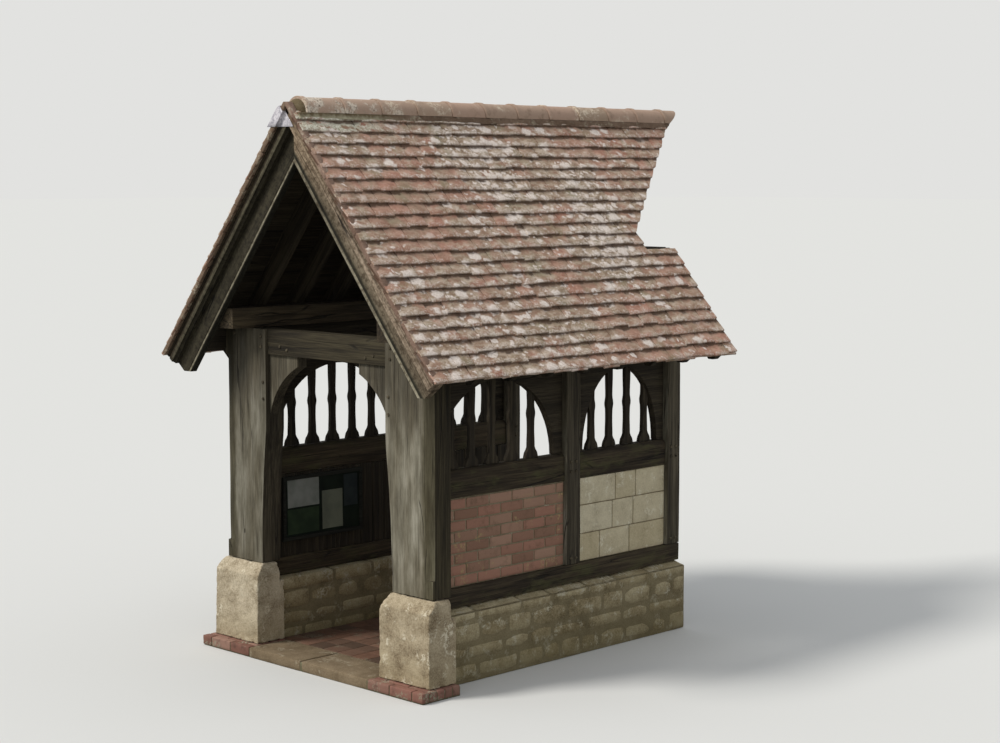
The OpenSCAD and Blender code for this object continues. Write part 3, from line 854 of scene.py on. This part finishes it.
board_low, board_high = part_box("notice_board")
BOARD_THICK, RECESS_BACK = 0.026, 0.0145
paper_face = board_high.x - BOARD_THICK + RECESS_BACK       # bottom of the recess in the frame
CELLS = 8                                                   # across a sheet and up it
sheets = [("baize", 0.03, 0.03, 0.74, 0.45, (36, 44, 36), (25, 31, 27), 0.0),
          ("sheet_grey", 0.045, 0.245, 0.30, 0.215, (150, 152, 146), (126, 130, 124), 0.0022),
          ("sheet_green", 0.045, 0.045, 0.30, 0.185, (58, 72, 52), (44, 56, 42), 0.0018),
          ("sheet_cream", 0.375, 0.050, 0.20, 0.290, (124, 128, 112), (104, 108, 96), 0.0024),
          ("sheet_blue", 0.590, 0.200, 0.135, 0.240, (58, 66, 66), (46, 52, 54), 0.0016)]
for name, y, z, width, tall, colour, shade, lift in sheets:
    bm = bmesh.new()
    grid = []
    for u in (i / CELLS for i in range(CELLS + 1)):
        for v in (j / CELLS for j in range(CELLS + 1)):
            curl = lift * (0.6 + (2 * u - 1) ** 4 * (1 - v) * 2.2 + 0.3 * math.sin(5 * v + 3 * u))
            grid.append(bm.verts.new((paper_face + 0.0006 + curl, board_low.y + y + u * width,
                                      board_low.z + z + v * tall)))
    for i in range(CELLS):
        for j in range(CELLS):
            k = i * (CELLS + 1) + j
            bm.faces.new((grid[k], grid[k + CELLS + 1], grid[k + CELLS + 2], grid[k + 1]))
    bm.normal_update()
    bmesh.ops.solidify(bm, geom=bm.faces[:], thickness=-0.0004)
    fix(finished(f"notice_{name}", bm, sheet_finish(f"notice {name}", colour, shade)), "board_paint")

# Open sides: arched heads cut from wide boards, and flat splats with a waved outline that stand
# on the rail and die into the arch. Both are of dark oak, painted darker still as shade.

dark_posts = oak("dark oak upright", *DARK_OAK, "z")
dark_rails = oak("dark oak rail", *DARK_OAK, "y")
for side, _ in SIDES:
    timber(f"oak_arch_heads_{side}", f"arch_heads_{side}", "oak_dark", dark_rails, {"y": 0.10}, 0.004, 0.002,
           (8, 2.5, 8))
    timber(f"oak_splats_{side}", f"splats_{side}", "oak_dark", dark_posts, {"z": 0.08}, 0.003, 0.0015, (10, 10, 3))

# Roof timbers: common and jack rafters birdsmouthed over the plates, collars on every third pair,
# a thin ridge board, and valley boards that lie on the church roof.

APEX_Z, EAVES_Z, HALF_SPAN = 4.000, 2.160, 1.480
PITCH = math.atan((APEX_Z - EAVES_Z) / HALF_SPAN)
DOWN = {sign: (sign * math.cos(PITCH), 0, -math.sin(PITCH)) for _, sign in SIDES}
dark_ties = oak("dark oak collar", *DARK_OAK, "x")
for side, sign in SIDES:
    dark_slope = oak(f"dark oak rafter {side}", *DARK_OAK, "x", -sign * PITCH)
    timber(f"oak_rafters_{side}", f"rafters_{side}", "oak_dark", dark_slope, {DOWN[sign]: 0.14}, 0.004, 0.003,
           (4, 9, 4))
timber("oak_collars", "collars", "oak_dark", dark_ties, {"x": 0.12}, 0.004, 0.003, (3, 9, 9))
timber("oak_ridge_board", "ridge_board", "oak_dark", dark_rails, {"y": 0.15}, 0.003, 0.002, (9, 2, 9))
timber("oak_valley_boards", "valley_boards", "oak_dark", dark_rails, {"y": 0.15}, 0.002, 0.001, (4, 4, 4))

# Tiling: hand-made plain tiles, 165 by 265 mm, hung on battens at a gauge of 103 mm over a lining
# of boards. Alternate courses start at the verge with a tile and a half.

EAVES_LEN, VALLEY_Y, SADDLE_Y, VALLEY_X = 3.080, 2.755, 4.083, 0.767
VALLEY_Z = APEX_Z - VALLEY_X * math.tan(PITCH)
SLOPE_LEN = HALF_SPAN / math.cos(PITCH)
VERGE, RIDGE_GAP = 0.006, 0.070
TILE_W, TILE_L, TILE_T, GAUGE = 0.165, 0.265, 0.013, SLOPE_LEN / 23
TILT = math.atan(TILE_T / GAUGE)


def shell(outer, inner, n):
    """A solid between two skins, each given as rows of n places."""
    bm = bmesh.new()
    skins = [[bm.verts.new(place) for place in skin] for skin in (outer, inner)]
    last = len(outer) // n - 1
    for i in range(last):
        for j in range(n - 1):
            quad = (i * n + j, (i + 1) * n + j, (i + 1) * n + j + 1, i * n + j + 1)
            bm.faces.new([skins[0][k] for k in quad])
            bm.faces.new([skins[1][k] for k in reversed(quad)])
    rim = [i * n for i in range(last + 1)] + [last * n + j for j in range(1, n)]
    rim += [i * n + n - 1 for i in range(last - 1, -1, -1)] + list(range(n - 2, 0, -1))
    for a, b in zip(rim, rim[1:] + rim[:1]):
        bm.faces.new((skins[0][b], skins[0][a], skins[1][a], skins[1][b]))
    bmesh.ops.recalc_face_normals(bm, faces=bm.faces)
    return bm


def plain_tile():
    """One tile with its tail at the origin: cambered across, the top of its tail rounded off, solid.

    It carries its reach, the distance from the tail."""
    across, along = 6, (0.0, 0.006, 0.03, 0.065, 0.10, 0.17, TILE_L)
    half = TILE_W / 2 - 0.0013
    skins = []
    for depth in (0.0, TILE_T):
        skin = []
        for x in (half * (2 * i / across - 1) for i in range(across + 1)):
            for y in along:
                round_off = 0.0030 * max(0, 1 - y / 0.006) if depth == 0 else 0.0
                skin.append((x, y, -depth - 0.0036 * (x / half) ** 2 - round_off))
        skins.append(skin)
    bm = shell(*skins, len(along))
    reach = bm.verts.layers.float.new("reach")
    for vert in bm.verts:
        vert[reach] = vert.co.y
    return loose("plain_tile", bm)


def tiling_tree():
    """Lays courses of tiles in a plane: x along the eaves from the verge, y up the slope."""
    tree, given = new_tree("tiling", Tile="Object", Columns="Int", Courses="Int", First_course="Int",
                           Width="Float", Gauge="Float", Tilt="Float", Waver="Float")
    columns = given["Columns"]
    line = add(tree, "GeometryNodeMeshLine", {"Count": columns * given["Courses"], "Offset": (0, 0, 0)})
    index = add(tree, "GeometryNodeInputIndex")
    course = ((index + 0.5) / columns).reckon("FLOOR")
    column = index - course * columns
    course = course + given["First_course"]
    odd = course.reckon("MODULO", 2.0)
    wide = odd * column.reckon("LESS_THAN", 0.5)
    x = given["Width"] * (wide * -0.25 + (odd * 0.5 + (column + 0.5)))
    key = course * 200.0 + column

    def strewn(low, high, stage):
        return drawn(tree, given["Seed"] + float(stage), low, high, ID=key)

    spot = triple(x + strewn(-0.0012, 0.0012, 1), course * given["Gauge"] + strewn(-0.010, 0.008, 2),
                  strewn(-0.002, 0.0, 3))
    turn = triple(strewn(-0.018, 0.008, 4) - given["Tilt"], strewn(-0.020, 0.020, 5), strewn(-0.032, 0.032, 6))
    hung = copies(moved(line, Position=spot), given["Tile"], Rotation=turn, Scale=triple(wide * 0.5 + 1.0, 1.0, 1.0))
    hung = marked(hung, "tone", strewn(0.0, 1.0, 7))
    hung = real(marked(hung, "age", strewn(0.0, 1.0, 8)))
    for pace, share in ((3.0, 2.2), (24.0, 1.0), (75.0, 0.45)):
        hung = moved(hung, Offset=stir(tree, pace, 1.0, given["Waver"] * share, (0.5, 0.5, 0.62)))
    return close_tree(hung, given["Finish"])


def roof_finish():
    """Plain tiles: red-brown under a grey-beige growth, dark below the laps with dirt and painted shadow,
    spotted with pale lichen and painted highlights at the tails.
    """
    made, spot = new_finish("roof clay", 0.9, 0.2)
    tone, age, reach, lichen = (own(spot, name) for name in ("tone", "age", "reach", "lichen"))
    _, y, z = axes(spot)

    def along(pace):
        """The place, drawn out along the courses, as growth spreads on the strip between two laps."""
        return spot * (1.0, pace, 1.0)

    fired = tone * 0.42 + (noise_at(along(0.8), 2.6, 3, 0.6) * 1.6 + -0.5)
    clay = tint(fired, (0.10, (164, 126, 106)), (0.30, (198, 152, 133)), (0.48, (180, 150, 129)),
                (0.64, (204, 156, 137)), (0.80, (190, 134, 115)), (0.94, (172, 147, 124)))
    fine = noise_at(spot, 75, 4, 0.75)
    patch = noise_at(along(0.6), 20, 4, 0.7)
    growth = tint(patch, (0.36, (154, 134, 110)), (0.50, (186, 167, 145)), (0.64, (212, 195, 174)))
    broad = noise_at(spot, 3.0, 4, 0.65) * 0.55 + patch * 0.35
    broad = age * 0.06 + (lichen * 0.13 + broad)
    body = coat(between(broad, 0.44, 0.585) * 0.68 + 0.20, clay, growth)
    grit = noise_at(spot, 190, 3, 0.75)
    body = shadow(0.45, body, grit, (0.32, (0.5, 0.46, 0.42, 1)), (0.60, (1, 1, 1, 1)))
    body = shadow(0.5, body, patch, (0.36, (0.6, 0.55, 0.5, 1)), (0.52, (1, 1, 1, 1)))
    green = between(noise_at(spot, 4.5, 4, 0.6), 0.54, 0.70)
    body = coat(green * 0.45, body, (150, 146, 116))

    # Lichen: ragged round spots of three sizes, more where the piece is marked, and pale flecks at the
    # tails that are lichen and painted highlight on the lower edges
    shaken = along(0.75) + noise_at(spot, 26.0, 3.0, 0.5, out=1) * 0.06
    crust = None
    for size, cut, reached in ((10.0, 0.80, 0.56), (17.0, 0.79, 0.56), (30.0, 0.88, 0.54)):
        cell = add(spot.tree, "ShaderNodeTexVoronoi", {"Vector": shaken, "Scale": size, "Randomness": 1})
        lot = add(spot.tree, "ShaderNodeSeparateColor", {0: cell.beside(1)})
        chosen = between(lichen * 0.42 + lot, cut, cut + 0.08)
        round_spot = between(fine * 0.34 + cell, reached + 0.09, reached - 0.07) * chosen
        crust = crust.reckon("MAXIMUM", round_spot) if crust else round_spot
    flecks = lichen * 0.05 + (patch * 0.4 + fine)
    flecks = between(between(reach, 0.060, 0.010) * 0.13 + flecks, 0.82, 0.90)
    crust = crust.reckon("MAXIMUM", flecks * 0.55)
    pale = tint(fine, (0.36, (214, 197, 183)), (0.56, (248, 236, 226)))
    body = coat(crust * 0.9, body, pale)
    top = between(fine * 0.05 + z, APEX_Z - 0.235, APEX_Z - 0.20)
    top = top * between(y, GABLE_Y + 0.95, GABLE_Y + 0.5) * between(patch, 0.40, 0.52)
    body = coat(top * 0.85, body, tint(fine, (0.4, (168, 164, 140)), (0.58, (234, 232, 214))))

    # The strip under the next course is painted dark, dirt with the painted shadow of the tail above,
    # and the tail's edge shows the clay, painted darker as shade
    lap = between(patch * 0.10 + (fine * 0.05 + reach), 0.144, 0.170)
    body = coat(lap * 0.9, body, (84, 63, 49))
    tail = between(fine * 0.006 + reach, 0.0055, 0.0030)
    body = coat(tail * 0.35, body, (136, 106, 86))
    return close_finish(made, body, crust * 0.5 + (grit * 0.35 + patch), 0.003)


def trim(bm, *planes):
    """Cuts away what lies beyond each plane, given by a point and a normal, and closes the cuts."""
    for point, normal in planes:
        cut = split(bm, point, normal, dist=1e-6, clear_outer=True)
        edges = [g for g in cut["geom_cut"] if isinstance(g, bmesh.types.BMEdge) and g.is_valid]
        bmesh.ops.holes_fill(bm, edges=edges)
    return bm


def on_roof(bm, sign):
    """Takes a flat layout, x along the eaves and y up the slope, to one slope of the roof."""
    run = Vector((-sign * math.cos(PITCH), 0, math.sin(PITCH)))
    out = Vector((sign * math.sin(PITCH), 0, math.cos(PITCH)))
    bm.transform(Matrix(((0, run.x, out.x, sign * HALF_SPAN), (1, 0, 0, GABLE_Y), (0, run.z, out.z, EAVES_Z),
                         (0, 0, 0, 1))))
    if sign < 0:
        bmesh.ops.reverse_faces(bm, faces=bm.faces)
    return bm


def gather(bms):
    """Several bmeshes as one."""
    whole = bmesh.new()
    for bm in bms:
        mesh = bpy.data.meshes.new("part")
        bm.to_mesh(mesh)
        bm.free()
        whole.from_mesh(mesh)
        bpy.data.meshes.remove(mesh)
    return whole


def taken(piece):
    """The mesh of a helper as a bmesh. The helper goes."""
    bm = bmesh.new()
    bm.from_mesh(piece.data)
    bpy.data.objects.remove(piece)
    return bm


TILING = tiling_tree()
PLAIN_TILE = plain_tile()
ROOF_CLAY = roof_finish()
VERGE_MORTAR = {
    "left": weathered_stone("verge mortar left", (164, 142, 122), (132, 112, 94), (90, 72, 58), (170, 158, 138), 0.4),
    "right": weathered_stone("verge mortar right", (174, 150, 134), (142, 117, 102), (98, 75, 62), (176, 162, 144),
                             0.3)}
BATTEN_OAK = oak("roof lining", *DARK_OAK, "y")
SADDLE_NORMAL = Vector((0, APEX_Z - VALLEY_Z, -(SADDLE_Y - VALLEY_Y))).normalized()
VALLEY, PAST_VALLEY = (at(0, VALLEY_Y, 0), Y), (at(0, VALLEY_Y, 0), -Y)
EAVES_END = (at(0, EAVES_LEN - 0.002, 0), Y)
SADDLE = (at(0, VALLEY_Y, VALLEY_Z), SADDLE_NORMAL)
SHORT_ROW, LONG_ROW = 20, 26                       # tiles in a course below the valley's foot, and above it
VERGE_HEAD, BEAD_LONG, BEAD_PITCH = 3.952, 0.233, 0.235
LINING_FROM, LINING_TO, LINING_LOW, LINING_HIGH = 0.130, 4.2, -0.099, -0.080
BOARD_WIDE, BOARD_PITCH = 0.143, 0.145
BATTEN_WIDE, BATTEN_TOP, BATTEN_UP = 0.03, -0.052, 0.157       # the last is measured from a tail


def courses(first, count, columns, seed):
    """Some courses as flat bmesh, the first of them counted from the eaves."""
    helper = in_scene("courses", bpy.data.meshes.new("courses"))
    bm = taken(grow(helper, TILING, Tile=PLAIN_TILE, Columns=columns, Courses=count, First_course=first, Width=TILE_W,
                    Gauge=GAUGE, Tilt=TILT, Waver=0.0022, Seed=seed, Finish=ROOF_CLAY))
    bmesh.ops.translate(bm, verts=bm.verts, vec=(VERGE + 0.002, 0.004, -0.0008))
    return bm


def patchiness(y, z):
    """How much lichen a place on the roof carries: heaps at (y, z) with a radius, and a weight."""
    heaps = ((1.5, 3.56, 0.42, 1.1), (2.42, 3.30, 0.26, 1.2), (2.34, 2.90, 0.26, 1.3), (1.2, 2.35, 0.45, 0.6),
             (0.60, 3.20, 0.45, -0.5), (0.40, 2.50, 0.42, 0.7), (0.30, 3.78, 0.20, 0.9), (2.2, 2.35, 0.30, -0.3))
    return sum(w * math.exp(-((y - hy) ** 2 + (z - hz) ** 2) / r ** 2) for hy, hz, r, w in heaps)


# Seven courses run to the end of the eaves. The next three are cut level behind the valley's foot,
# one more stops at it, and twelve run back to the saddle. A doubled course tilts the lowest one.
for side, sign, seed in (("left", -1, 500), ("right", 1, 100)):
    lower = trim(on_roof(courses(0, 7, SHORT_ROW, seed), sign), EAVES_END)
    under = courses(0, 1, SHORT_ROW, seed + 50)
    bmesh.ops.translate(under, verts=under.verts, vec=(-0.05, 0.001, -TILE_T - 0.001))
    trim(under, (X * (VERGE + 0.008), -X), (Y * 0.17, Y))
    trim(on_roof(under, sign), EAVES_END)
    near = trim(on_roof(courses(7, 3, SHORT_ROW, seed), sign), VALLEY)
    far = trim(courses(7, 3, SHORT_ROW, seed), (Y * 0.971, Y))
    trim(on_roof(far, sign), PAST_VALLEY, EAVES_END)
    level = trim(on_roof(courses(10, 1, SHORT_ROW, seed), sign), VALLEY)
    upper = trim(on_roof(courses(11, 12, LONG_ROW, seed), sign), SADDLE, (X * sign * RIDGE_GAP, X * -sign))
    tiles = trim(gather([lower, under, near, far, level, upper]), (X * sign * (HALF_SPAN - 0.0005), X * sign))
    lichen = tiles.verts.layers.float.new("lichen")
    for vert in tiles.verts:
        y = vert.co.y - GABLE_Y
        vert[lichen] = patchiness(y if sign > 0 else 3.0 - y, vert.co.z)
    fix(finished(f"plain_tiles_{side}", tiles, ROOF_CLAY, angle=40), "roof_clay", f"roof_tiles_{side}")

    beads = [((0.0072, y, -0.0495), (0.055, y + BEAD_LONG, -0.0125))
             for y in (0.02 + k * BEAD_PITCH for k in range(10))]
    bm = on_roof(taken(lay(f"beads_{side}", beads, VERGE_MORTAR[side], 0.007, 0.006, 0.004, seed=61)), sign)
    for vert in bm.verts:
        vert.co.y = max(vert.co.y, GABLE_Y + VERGE + 0.0004)
    trim(bm, (X * sign * 0.0005, X * -sign), (Z * VERGE_HEAD, Z))
    fix(finished(f"verge_{side}", bm, VERGE_MORTAR[side]), "mortar", f"roof_tiles_{side}")

    layers = [(0.075 + k * BOARD_PITCH, BOARD_WIDE, LINING_LOW, LINING_HIGH) for k in range(15)]
    battens = [GAUGE * k + BATTEN_UP for k in range(1, 22)]
    layers += [(y, BATTEN_WIDE, LINING_HIGH, BATTEN_TOP) for y in battens if y < SLOPE_LEN - BATTEN_WIDE]
    layers.append((0.060, 0.050, LINING_HIGH, -0.036))           # eaves batten, wider and thicker
    strips = [((LINING_FROM, y, low), (LINING_TO, y + width, high)) for y, width, low, high in layers]
    upper = on_roof(taken(lay(f"lining_{side}", strips, BATTEN_OAK, 0.002, seed=51)), sign)
    lower = upper.copy()
    foot = Z * (VALLEY_Z - 0.130)
    trim(lower, (foot, Z), (at(0, EAVES_LEN, 0), Y))
    trim(upper, (foot, -Z), (at(0, VALLEY_Y, VALLEY_Z + 0.03), SADDLE_NORMAL),
         (X * sign * (RIDGE_GAP + 0.001), X * -sign))
    fix(finished(f"roof_lining_{side}", gather([lower, upper]), BATTEN_OAK), "oak_dark", f"roof_tiles_{side}")

# Ridge: half-round clay tiles, each with a thickened lap, bedded and pointed in lime mortar that is
# painted dark brown as shade under the tiles, and near the gable has gone pale at its foot, under a
# painted green-brown shadow of the tiles' edge. The last ones die into the church roof.

RIDGE_Z, RIDGE_R, RIDGE_ROLL, RIDGE_SHELL = 3.882, 0.115, 0.008, 0.020
RIDGE_FROM, RIDGE_TILE, ROLL_W = 0.110, 0.340, 0.045
MORTAR_FROM = 0.040
RIDGE_TO = cad_high.y - GABLE_Y
RIDGE_END = (at(0, SADDLE_Y, APEX_Z), SADDLE_NORMAL)


def ridge_tile_shape():
    """Half a ring with its lap at the front, lying along y."""
    around = 22
    stations = ((0.0, 0.006), (0.004, RIDGE_ROLL), (0.020, RIDGE_ROLL), (ROLL_W - 0.008, RIDGE_ROLL), (ROLL_W, 0.0),
                (0.12, 0.0), (0.2, 0.0), (0.28, 0.0), (RIDGE_TILE - 0.004, 0.0))
    skins = []
    for inner in (False, True):
        skin = []
        for y, swell in stations:
            radius = RIDGE_R - RIDGE_SHELL if inner else RIDGE_R - RIDGE_ROLL + swell - 0.001
            for a in (math.pi * k / around for k in range(around + 1)):
                skin.append((radius * math.cos(a), y, radius * math.sin(a)))
        skins.append(skin)
    return loose("ridge_tile", shell(*skins, around + 1))


def ridge_tree():
    """Lays tiles end to end along y, each a little out of line."""
    tree, given = new_tree("ridge", Tile="Object", Count="Int", Length="Float", Waver="Float")
    line = add(tree, "GeometryNodeMeshLine", {"Count": given["Count"], "Offset": triple(0.0, given["Length"], 0.0)})
    spin = drawn(tree, given["Seed"], (-0.004, -0.012, -0.006), (0.004, 0.012, 0.006))
    laid = real(marked(copies(line, given["Tile"], Rotation=spin), "tone", drawn(tree, given["Seed"])))
    laid = moved(laid, Offset=stir(tree, 16.0, 2.0, given["Waver"], (0.5, 0.5, 0.75)))
    return close_tree(laid, given["Finish"])


def recoat(made, amount, shade):
    """Lays one more colour over a finish."""
    face = shader_input(made, "Base Color")
    coat(amount, Value(face.links[0].from_socket), shade).into(face)


RIDGE_CLAY = fired_clay("ridge clay", [(186, 156, 136), (178, 152, 132), (190, 162, 142), (174, 150, 128)],
                        (206, 190, 168), 0.45, 0.85, (112, 90, 68))
spot = place_on(RIDGE_CLAY)
near_gable = between(axes(spot)[1], GABLE_Y + 1.25, GABLE_Y + 0.85)
patches = between(noise_at(spot, 7.0, 4, 0.65), 0.50, 0.58)
growth = tint(noise_at(spot, 60, 3, 0.7), (0.36, (120, 100, 84)), (0.52, (216, 202, 184)))
recoat(RIDGE_CLAY, near_gable * patches, growth)
ridge = in_scene("ridge_row", bpy.data.meshes.new("ridge_row"))
bm = taken(grow(ridge, ridge_tree(), Tile=ridge_tile_shape(), Count=math.ceil((RIDGE_TO - RIDGE_FROM) / RIDGE_TILE),
                Length=RIDGE_TILE, Waver=0.003, Seed=6, Finish=RIDGE_CLAY))
bmesh.ops.translate(bm, verts=bm.verts, vec=at(0, RIDGE_FROM, RIDGE_Z - 0.001))
trim(bm, RIDGE_END, (at(0, RIDGE_TO - 0.0005, 0), Y))
for vert in bm.verts:
    vert.co.z = min(vert.co.z, cad_high.z - 0.0003)
fix(finished("ridge_row", bm, RIDGE_CLAY, angle=30), "ridge_clay", "ridge_tiles")

# The mortar is painted dark brown as shade under the ridge tiles; near the gable it is pale at its foot
# and painted dark green-brown along its top as the shadow under the tiles' edge.
LIME_MORTAR = weathered_stone("lime mortar", (136, 114, 96), (108, 88, 72), (74, 59, 46), (156, 144, 124), 0.4)
spot = place_on(LIME_MORTAR)
_, y, z = axes(spot)
foot = z * -9.0 + (noise_at(spot, 30, 4, 0.6) * 0.7 + 34.82)
recoat(LIME_MORTAR, between(y, GABLE_Y + 1.1, GABLE_Y + 0.6) * 0.8,
       tint(foot, (0.30, (106, 94, 68)), (0.62, (186, 180, 152))))
ENDS, STATIONS = 10, 90                            # rings at the rounded end, and along the rest
BODY_FROM = RIDGE_FROM + 0.006
fill = RIDGE_R - RIDGE_SHELL - 0.0015
profile = [(fill * math.cos(math.pi * k / 12), fill * math.sin(math.pi * k / 12)) for k in range(13)]
profile += [(-0.106, -0.003), (-0.114, -0.020), (-0.122, -0.042), (-0.069, -0.0405)]
profile += [(0.069, -0.0405), (0.122, -0.042), (0.114, -0.020), (0.106, -0.003)]
RAGGED = (14, 15, 18, 19)                          # places of the profile on the mortar's lower edges
stations = [MORTAR_FROM + (BODY_FROM - MORTAR_FROM) * i / ENDS for i in range(ENDS)]
stations += [BODY_FROM + (RIDGE_TO - 0.008 - RIDGE_FROM) * i / STATIONS for i in range(STATIONS + 1)]
rings = []
for y in stations:
    ring = []
    swept = min((y - MORTAR_FROM) / (RIDGE_FROM - MORTAR_FROM), 1)
    narrow = 0.42 + 0.58 * math.sin(swept * math.pi / 2)
    for k, (x, z) in enumerate(profile):
        sway = noise.noise(Vector((x * 20, y * 9, z * 20))) * (0.009 if k in RAGGED else 0.001)
        rough = noise.noise(Vector((x * 30, y * 34, z * 30))) * 0.010 * (1 - swept)
        if z >= 0:
            x, z = x * narrow, z * (narrow + rough * 12)
        ring.append(at(x + (sway if x > 0 else -sway), y, RIDGE_Z + z))
    rings.append(ring)
bm = tube(rings)
bmesh.ops.recalc_face_normals(bm, faces=bm.faces)
fix(finished("ridge_bedding", trim(bm, RIDGE_END), LIME_MORTAR, angle=50), "mortar", "ridge_mortar")

# Barge boards: two thicknesses of oak, the outer board hollowed along its lower edge and the inner
# one finished with a bead, mitred at the top under a saddle of lead.

BARGE_OAK = [(214, 208, 190), (180, 174, 156), (122, 114, 98)]


def banded(crest, stops):
    """Colour by the depth below the tiles: painted highlights and painted shade along each moulding
    of the boards, over the way each has weathered.

    crest is the share by which the boards pale towards the top of the gable."""
    def over(body, place):
        x, _, z = axes(place)
        fall = (APEX_Z - z) * math.cos(PITCH)
        depth = x.reckon("ABSOLUTE") * -math.sin(PITCH) + fall
        shade = tint(depth * 3.0, *[(d * 3, c + (1,)) for d, c in stops])
        pale = between(z, 3.20, 3.62) * between(depth, 0.245, 0.215)
        shade = coat(pale * crest, shade, (0.74, 0.60, 0.50, 1))
        speck = noise_at(place, 30, 5, 0.75)
        shade = shadow(1.0, shade, speck, (0.38, (0.42, 0.38, 0.34, 1)), (0.58, (1.1, 1.1, 1.1, 1)))
        return coat(1.0, body, shade, "MULTIPLY")
    return over


# Painted light and shade by depth: the bright stripes are painted highlights on the arrises of the outer boards and
# on the beads,
# the darkest stripes painted shade in the hollows and under the beads, and the left boards are painted dark as the
# shade of their soffits.
BANDS = {
    "left": banded(0.0, [(0.092, (0.10, 0.078, 0.052)), (0.100, (0.26, 0.25, 0.20)), (0.115, (0.26, 0.25, 0.20)),
                         (0.124, (0.092, 0.084, 0.060)), (0.262, (0.098, 0.090, 0.066)), (0.268, (0.74, 0.72, 0.66)),
                         (0.279, (0.74, 0.72, 0.66)), (0.286, (0.06, 0.06, 0.05))]),
    "right": banded(0.7, [(0.066, (0.76, 0.66, 0.60)), (0.078, (0.64, 0.53, 0.48)), (0.124, (0.72, 0.61, 0.56)),
                          (0.132, (0.34, 0.28, 0.25)), (0.140, (0.34, 0.28, 0.25)), (0.150, (0.54, 0.46, 0.41)),
                          (0.200, (0.42, 0.36, 0.31)), (0.232, (0.26, 0.23, 0.19)), (0.246, (0.06, 0.06, 0.045)),
                          (0.258, (0.06, 0.06, 0.045)), (0.268, (0.70, 0.68, 0.62)), (0.279, (0.70, 0.68, 0.62)),
                          (0.286, (0.06, 0.06, 0.05))])}
for side, sign in SIDES:
    finish = oak(f"barge oak {side}", *BARGE_OAK, "x", -sign * PITCH, over=BANDS[side])
    timber(f"oak_barge_{side}", f"barge_board_{side}", "barge_oak", finish, {DOWN[sign]: 0.12}, 0.0018, 0.0012,
           (3, 8, 3))


def lead_finish():
    """Sheet lead: white bloom and a painted highlight on the head and shoulders, dark blue-grey where it hangs."""
    made, spot = new_finish("sheet lead", 0.5, 0.5)
    cloud = noise_at(spot, 14, 4, 0.55)
    bloom = noise_at(spot, 55, 4, 0.6)
    body = tint(cloud, (0.36, (76, 76, 84)), (0.5, (98, 98, 106)), (0.66, (124, 122, 130)))
    # The head and shoulders are painted pale: white bloom with a painted highlight
    upper = between(cloud * 0.08 + axes(spot)[2], APEX_Z - 0.23, APEX_Z - 0.12)
    body = coat(upper, body, tint(bloom, (0.35, (176, 172, 182)), (0.6, (232, 228, 232))))
    shader_input(made, "Metallic").default_value = 0.2
    return close_finish(made, body, cloud, 0.003, between(bloom, -0.2, 0.9))


LEAD_LAP = 0.086
lead = worked("lead_saddle", "lead_cap", lead_finish(), dict.fromkeys("xyz", 0.02), 0.0012, 0.0008, (22, 22, 22))
bm = bmesh.new()
bm.from_mesh(lead.data)
outwards = Vector((math.sin(PITCH), 0, math.cos(PITCH)))
trim(bm, (Z * APEX_Z - outwards * LEAD_LAP, outwards))
bm.to_mesh(lead.data)
bm.free()
fix(lead, "lead", "lead_cap")

low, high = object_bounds()
